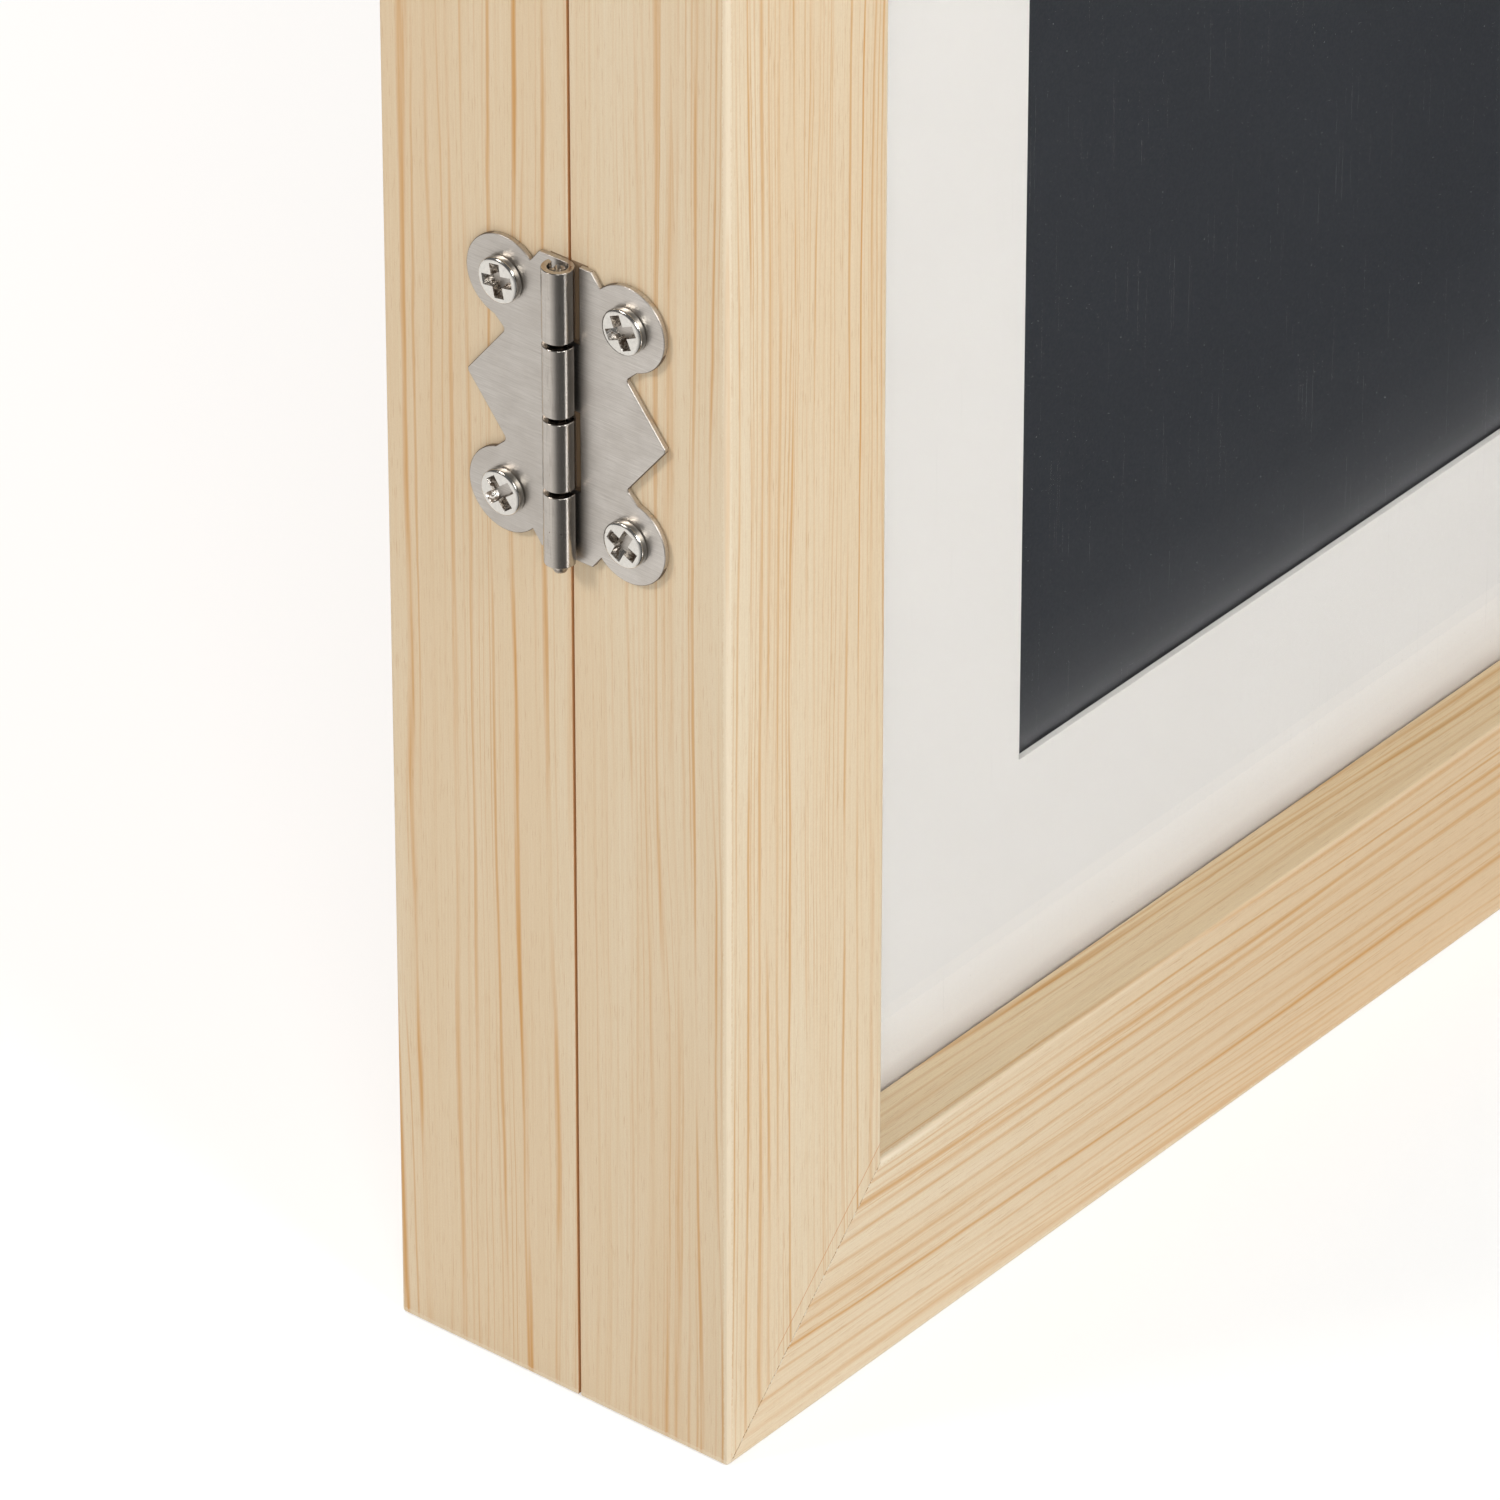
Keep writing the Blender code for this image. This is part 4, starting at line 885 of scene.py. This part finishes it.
def leaf_outline():
    """Butterfly outline as (reach from the pin, rise from mid-height): its upper half, then its lower."""
    lobe = arc(LOBE_CENTRE, LOBE_RADIUS, *LOBE_ANGLES, LOBE_STEPS)
    waist = fillet(lobe[-1], LEAF_WAIST, LEAF_TIP, WAIST_RADIUS)
    upper = [(LEAF_INNER, LEAF_TOP), (SHOULDER, LEAF_TOP), *lobe, *waist, LEAF_TIP]
    lower = [(reach, -rise) for reach, rise in reversed(upper)]
    return upper + lower


def knuckle_spans(first):
    """Each (low, high) rise of every second knuckle from that one on, counted from the top."""
    spans = []
    for index in range(first, KNUCKLES, 2):
        high = LEAF_TOP - index * KNUCKLE_HEIGHT - (KNUCKLE_GAP / 2 if index > 0 else 0)
        low = LEAF_TOP - (index + 1) * KNUCKLE_HEIGHT + (KNUCKLE_GAP / 2 if index < KNUCKLES - 1 else 0)
        spans.append((low, high))
    return spans


def hinge_leaf(node):
    """A leaf with a finely rounded outline and round knuckles rolled from the same sheet."""
    low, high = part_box(node)
    middle = (low[2] + high[2]) / 2 / MM
    on_case = "case" in node
    direction = 1 if on_case else -1
    mesh = bmesh.new()
    known = {}

    def vert(reach, rise, lift):
        key = (reach, rise, lift)
        if key not in known:
            place = (-HALF_WIDTH - LEAF_SEAT - lift, SEAM_DEPTH + direction * reach, middle + rise)
            known[key] = mesh.verts.new([value * MM for value in place])
        return known[key]

    spans = knuckle_spans(0 if on_case else 1)
    rises = sorted({rise for span in spans for rise in span} - {-LEAF_TOP, LEAF_TOP})
    outline = leaf_outline() + [(LEAF_INNER, rise) for rise in rises]
    for lift in (0, LEAF_THICKNESS):
        mesh.faces.new([vert(reach, rise, lift) for reach, rise in outline])
    for start, end in zip(outline, outline[1:] + outline[:1]):
        rolled = (min(start[1], end[1]), max(start[1], end[1])) in spans
        if start[0] == end[0] == LEAF_INNER and rolled:
            continue
        corners = (*start, 0), (*end, 0), (*end, LEAF_THICKNESS), (*start, LEAF_THICKNESS)
        mesh.faces.new([vert(*corner) for corner in corners])
    axis = (0, KNUCKLE_RADIUS)
    outer = arc(axis, KNUCKLE_RADIUS, 270, KNUCKLE_END, KNUCKLE_STEPS)
    inner = arc(axis, KNUCKLE_BORE, KNUCKLE_END, 270, KNUCKLE_STEPS)
    section = [(LEAF_INNER, 0), *outer, *inner, (LEAF_INNER, LEAF_THICKNESS)]
    for bottom, top in spans:
        for near, far in zip(section, section[1:]):
            corners = ((near, bottom), (far, bottom), (far, top), (near, top))
            mesh.faces.new([vert(reach, rise, lift) for (reach, lift), rise in corners])
        for rise in (bottom, top):
            mesh.faces.new([vert(reach, rise, lift) for reach, lift in section])
    bmesh.ops.recalc_face_normals(mesh, faces=mesh.faces)
    result = with_eased_edges(node, mesh, lambda edge: EDGE_WIDTHS["hinge_nickel"])
    return keep_mesh(node + "_surface", result, node, FINISHES["hinge_nickel"], smooth_angle=50)


PIN_PROFILE = (
    (0, -14.4), (0.3, -14.38), (0.5, -14.27), (0.6, -14.08), (0.64, -13.8), (0.745, -13.6), (0.745, 12.75),
    (0.7, 12.98), (0.55, 13.1), (0.35, 13.04), (0.18, 12.96), (0, 12.92),
)
PIN_SIDES = 40
PIN_TOP = 12.9
CRUSH_DEPTH = 0.1
CRUSH_LOBES = 3
CRUSH_TWIST = 11


def hinge_pin(node):
    """A pin with a rounded tail below the lowest knuckle and an uneven, pinched top end."""
    low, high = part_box(node)
    middle = (low[2] + high[2]) / 2 / MM - (PIN_PROFILE[0][1] + PIN_TOP) / 2
    mesh = turned_mesh(PIN_PROFILE, PIN_SIDES)
    for vert in mesh.verts:
        if vert.co.z > PIN_TOP:
            angle = math.atan2(vert.co.y, vert.co.x)
            vert.co.z += CRUSH_DEPTH * math.sin(CRUSH_LOBES * angle + CRUSH_TWIST * vert.co.xy.length)
    place = ((low[0] + high[0]) / 2, (low[1] + high[1]) / 2, middle * MM)
    mesh.transform(Matrix.Translation(place) @ Matrix.Scale(MM, 4))
    return keep_mesh(node + "_surface", mesh, node, PIN_FINISH, smooth_angle=50)


SPRING_TURNS = 5
SPRING_FLAT_TURNS = 0.7
SPRING_NARROWED = 0.86
SPRING_BASE_RADIUS = 12 * MM
SPRING_TIP_RADIUS = 7 * MM
WIRE_RADIUS = 0.45 * MM
SPRING_STEPS = 28
WIRE_SIDES = 10
SPRING_ACROSS = 95 * MM
SPRING_HEIGHTS = (53.0 * MM, 300.6 * MM)


def cone_spring(node):
    """A round-wire cone spring with flat ends, wide at the back; it flattens as the board slides back."""
    low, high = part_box(node)
    x = math.copysign(SPRING_ACROSS, low[0])
    z = SPRING_HEIGHTS["upper" in node]
    back, front = high[1] - WIRE_RADIUS, low[1] + WIRE_RADIUS
    path = []
    for index in range(SPRING_TURNS * SPRING_STEPS + 1):
        turns = index / SPRING_STEPS
        share = min(max((turns - SPRING_FLAT_TURNS) / (SPRING_TURNS - 2 * SPRING_FLAT_TURNS), 0), 1)
        narrowing = min(share / SPRING_NARROWED, 1)
        radius = SPRING_BASE_RADIUS + (SPRING_TIP_RADIUS - SPRING_BASE_RADIUS) * narrowing
        angle = math.tau * turns
        depth = back + (front - back) * share
        path.append(Vector((x + radius * math.cos(angle), depth, z + radius * math.sin(angle))))
    mesh = bmesh.new()
    rings = []
    for index, point in enumerate(path):
        ahead = (path[min(index + 1, len(path) - 1)] - path[max(index - 1, 0)]).normalized()
        side = ahead.cross(Vector((0, 1, 0))).normalized()
        up = side.cross(ahead)
        ring = []
        for step in range(WIRE_SIDES):
            angle = math.tau * step / WIRE_SIDES
            ring.append(mesh.verts.new(point + WIRE_RADIUS * (math.cos(angle) * side + math.sin(angle) * up)))
        rings.append(ring)
    for near, far in zip(rings, rings[1:]):
        for step in range(WIRE_SIDES):
            after = (step + 1) % WIRE_SIDES
            mesh.faces.new((near[step], near[after], far[after], far[step]))
    mesh.faces.new(rings[0])
    mesh.faces.new(rings[-1])
    spring = keep_mesh(node + "_surface", mesh, node, FINISHES["spring_steel"], smooth_angle=60)
    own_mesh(spring)


SCREW_TURNS = {
    "lower_hinge_case_screw_top": 10,
    "lower_hinge_door_screw_top": 24,
    "lower_hinge_case_screw_low": 38,
    "lower_hinge_door_screw_low": 62,
    "upper_hinge_case_screw_top": 51,
    "upper_hinge_door_screw_top": 5,
    "upper_hinge_case_screw_low": 73,
    "upper_hinge_door_screw_low": 30,
}

PALE = srgb(240, 223, 194)
WARM = srgb(236, 214, 181)
BOTTOM_PALE = srgb(243, 227, 199)
BOTTOM_WARM = srgb(234, 207, 170)
UPRIGHT_SPACING = 1.45
LEVEL_SPACING = 1.75
CASE_SPACING = 2.1
DOOR_CALM = (-12.0, -6.0)

screw_pattern = screw_head_mesh()
for number, (node, slot) in enumerate(sorted(SLOT_OF.items())):
    if node in SCREW_TURNS:
        screw(node, screw_pattern, SCREW_TURNS[node])
    elif node.endswith("_leaf"):
        hinge_leaf(node)
    elif node.endswith("_pin"):
        hinge_pin(node)
    elif slot == "spring_steel":
        cone_spring(node)
    elif slot == "pale_wood":
        upright = node.endswith(("left", "right"))
        on_door = node.startswith("door")
        tones = ((WARM, PALE) if on_door else (PALE, WARM)) if upright else (BOTTOM_PALE, BOTTOM_WARM)
        spacing = (UPRIGHT_SPACING if upright else LEVEL_SPACING) if on_door else CASE_SPACING
        calm = DOOR_CALM if on_door and upright else None
        eased(node, wood(node + "_wood", upright, number + 1, *tones, spacing, calm))
    elif slot in EDGE_WIDTHS:
        eased(node, FINISHES[slot])
    else:
        frame["nodes"][node].material_slots[0].material = FINISHES[slot]


# Floor, cards, light and camera


def plate(name, corners, material):
    """A flat stage surface from its corners in order."""
    data = bpy.data.meshes.new(name)
    data.from_pydata(corners, [], [tuple(range(len(corners)))])
    data.materials.append(material)
    surface = bpy.data.objects.new(name, data)
    bpy.context.collection.objects.link(surface)
    return surface


WORLD_LIGHT = 0.25
WORLD_SEEN = 1.0
WORLD_MIRRORED = 0.1
LIFT_REACH = 500.0
NEAR_SHARE_END = 0.4
NEAR_LIFT = 0.5
MIRROR_LIFT = 0.25
FLOOR_REACH = 6.0
FLOOR_GAP = 0.05 * MM


def floor_finish():
    """White paper that camera, mirror and glass rays see brighter, so that it ends in plain white."""
    finish = Finish("floor_finish", srgb(216, 216, 215), 0.9)
    path = finish.tree.nodes.new("ShaderNodeLightPath")
    seen = finish.math("MAXIMUM", path.outputs["Is Camera Ray"], path.outputs["Is Transmission Ray"])
    from_centre = finish.math("SQRT", finish.vector("DOT_PRODUCT", finish.place, finish.place))
    outward = finish.math("DIVIDE", from_centre, LIFT_REACH)
    lift = finish.ramp(outward, (NEAR_SHARE_END, NEAR_LIFT), (1.0, 1.0))
    lift = finish.product(seen, lift)
    lift = finish.math("MULTIPLY_ADD", path.outputs["Is Glossy Ray"], MIRROR_LIFT, lift)
    straight = finish.math("LESS_THAN", path.outputs["Diffuse Depth"], 0.5)
    finish.set("Emission Color", (1, 1, 1, 1))
    finish.set("Emission Strength", finish.product(lift, straight))
    return finish.material


floor_signs = ((-1, -1), (1, -1), (1, 1), (-1, 1))
floor_corners = [(x * FLOOR_REACH, y * FLOOR_REACH, -FLOOR_GAP) for x, y in floor_signs]
plate("floor", floor_corners, floor_finish())


def card(name, corners, finish):
    """A card lying on the floor out of view, which only rays that a surface has mirrored see."""
    path = finish.tree.nodes.new("ShaderNodeLightPath")
    mirrored = finish.math("GREATER_THAN", path.outputs["Glossy Depth"], 0.5)
    finish.choose(mirrored, finish.clear(), finish.shader)
    surface = plate(name, corners, finish.material)
    for ray in ("camera", "diffuse", "volume_scatter", "shadow"):
        setattr(surface, "visible_" + ray, False)


HINGE_X = -149.4 * MM
HINGE_Y = -1.7 * MM
CARD_HEIGHT = 1 * MM
BRIGHT_CARD_HEIGHT = 2 * MM
CARD_REACH = 3.0
CARD_START = 0.02
BRIGHT_LIFT = 2.2
SHADE_START = math.radians(25)
SHADE_REACH = math.radians(75)


def from_hinge(azimuth, distance, height=CARD_HEIGHT):
    """A point over the floor seen from the hinge pin, its azimuth in degrees from -X towards -Y."""
    angle = math.radians(azimuth)
    return (HINGE_X - distance * math.cos(angle), HINGE_Y - distance * math.sin(angle), height)


def bright_finish():
    """White card that mirror-like surfaces see a little brighter than the floor."""
    finish = Finish("bright_card_finish", srgb(242, 242, 241), 0.9)
    finish.set("Emission Color", (1, 1, 1, 1))
    finish.set("Emission Strength", BRIGHT_LIFT)
    return finish


def shaded_finish():
    """Card that darkens round the hinge, from nearly white on the left to dark grey towards the front."""
    finish = Finish("shaded_card_finish", srgb(104, 102, 100), 0.9)
    x, y, _ = split(finish)
    leftward = finish.math("SUBTRACT", HINGE_X / MM, x)
    forward = finish.math("SUBTRACT", HINGE_Y / MM, y)
    azimuth = finish.math("ARCTAN2", forward, leftward)
    turn = finish.math("DIVIDE", finish.math("ADD", azimuth, SHADE_START), SHADE_REACH)
    finish.set("Base Color", finish.ramp(turn, (0.0, 1.0), (0.35, 0.62), (0.7, 0.16), (1.0, 0.1)))
    return finish


shaded_corners = (
    (-25, CARD_START), (-25, CARD_REACH), (30, CARD_REACH), (88, CARD_REACH), (88, CARD_START),
)
card("shaded_card", [from_hinge(*corner) for corner in shaded_corners], shaded_finish())
dark_corners = [
    from_hinge(88, CARD_START),
    from_hinge(88, CARD_REACH),
    (CARD_REACH, -CARD_REACH, CARD_HEIGHT),
    (CARD_REACH, -CARD_START, CARD_HEIGHT),
]
card("dark_card", dark_corners, Finish("dark_card_finish", srgb(14, 14, 14), 0.9))
bright_corners = ((88, 0.1), (88, 0.19), (118, 0.19), (118, 0.1))
card("bright_card", [from_hinge(*corner, BRIGHT_CARD_HEIGHT) for corner in bright_corners], bright_finish())

world = bpy.data.worlds.new("studio")
bpy.context.scene.world = world
world.use_nodes = True
sky = world.node_tree.nodes["Background"]
sky.inputs["Color"].default_value = (1, 1, 1, 1)
path = world.node_tree.nodes.new("ShaderNodeLightPath")
strength = sky.inputs["Strength"]
for ray, value in (("Is Camera Ray", WORLD_SEEN), ("Is Glossy Ray", WORLD_MIRRORED)):
    choice = world.node_tree.nodes.new("ShaderNodeMix")
    choice.data_type = "FLOAT"
    choice.inputs[3].default_value = value
    world.node_tree.links.new(path.outputs[ray], choice.inputs[0])
    world.node_tree.links.new(choice.outputs[0], strength)
    strength = choice.inputs[2]
strength.default_value = WORLD_LIGHT


def softbox(name, place, target, size, power, colour):
    """A round soft lamp of that size in metres and power in watts, turned towards target."""
    light = bpy.data.lights.new(name, "AREA")
    light.shape = "DISK"
    light.size = size
    light.energy = power
    light.color = colour
    lamp = bpy.data.objects.new(name, light)
    bpy.context.collection.objects.link(lamp)
    lamp.location = place
    lamp.rotation_euler = (Vector(target) - Vector(place)).to_track_quat("-Z", "Y").to_euler()


CORNER = (-0.12, 0.0, 0.1)
CENTRE = (0.0, 0.0, 0.17)
softbox("key_left", (-0.9, 0.5, 0.75), CORNER, 0.3, 4.05, (1.0, 0.935, 0.875))
softbox("key_corner", (-1.15, -0.95, 0.75), CORNER, 0.5, 5.1, (1.0, 0.99, 0.97))
softbox("key_front", (-0.2, -1.4, 1.0), CORNER, 0.8, 14.9, (0.98, 0.99, 1.0))
softbox("fill_back", (1.0, 1.1, 0.85), CENTRE, 0.8, 13.0, (1.0, 0.98, 0.95))

CAMERA_PLACE = Vector((-0.779008, -0.5345165, 0.592578))
CAMERA_YAW = math.radians(50.7919)
CAMERA_PITCH = math.radians(32.6797)
CAMERA_ROLL = math.radians(0.0097)
SENSOR_WIDTH = 36
FOCAL_LENGTH = 297.05
ahead = Vector(
    (
        math.sin(CAMERA_YAW) * math.cos(CAMERA_PITCH),
        math.cos(CAMERA_YAW) * math.cos(CAMERA_PITCH),
        -math.sin(CAMERA_PITCH),
    )
)
level_right = Vector((math.cos(CAMERA_YAW), -math.sin(CAMERA_YAW), 0))
level_up = level_right.cross(ahead)
right = level_right * math.cos(CAMERA_ROLL) + level_up * math.sin(CAMERA_ROLL)
up = level_up * math.cos(CAMERA_ROLL) - level_right * math.sin(CAMERA_ROLL)
lens = bpy.data.cameras.new("camera")
lens.sensor_width = SENSOR_WIDTH
lens.lens = FOCAL_LENGTH
camera = bpy.data.objects.new("camera", lens)
bpy.context.collection.objects.link(camera)
facing = Matrix((right, up, -ahead)).transposed().to_4x4()
camera.matrix_world = Matrix.Translation(CAMERA_PLACE) @ facing
bpy.context.scene.camera = camera
bpy.context.scene.view_settings.view_transform = "Standard"
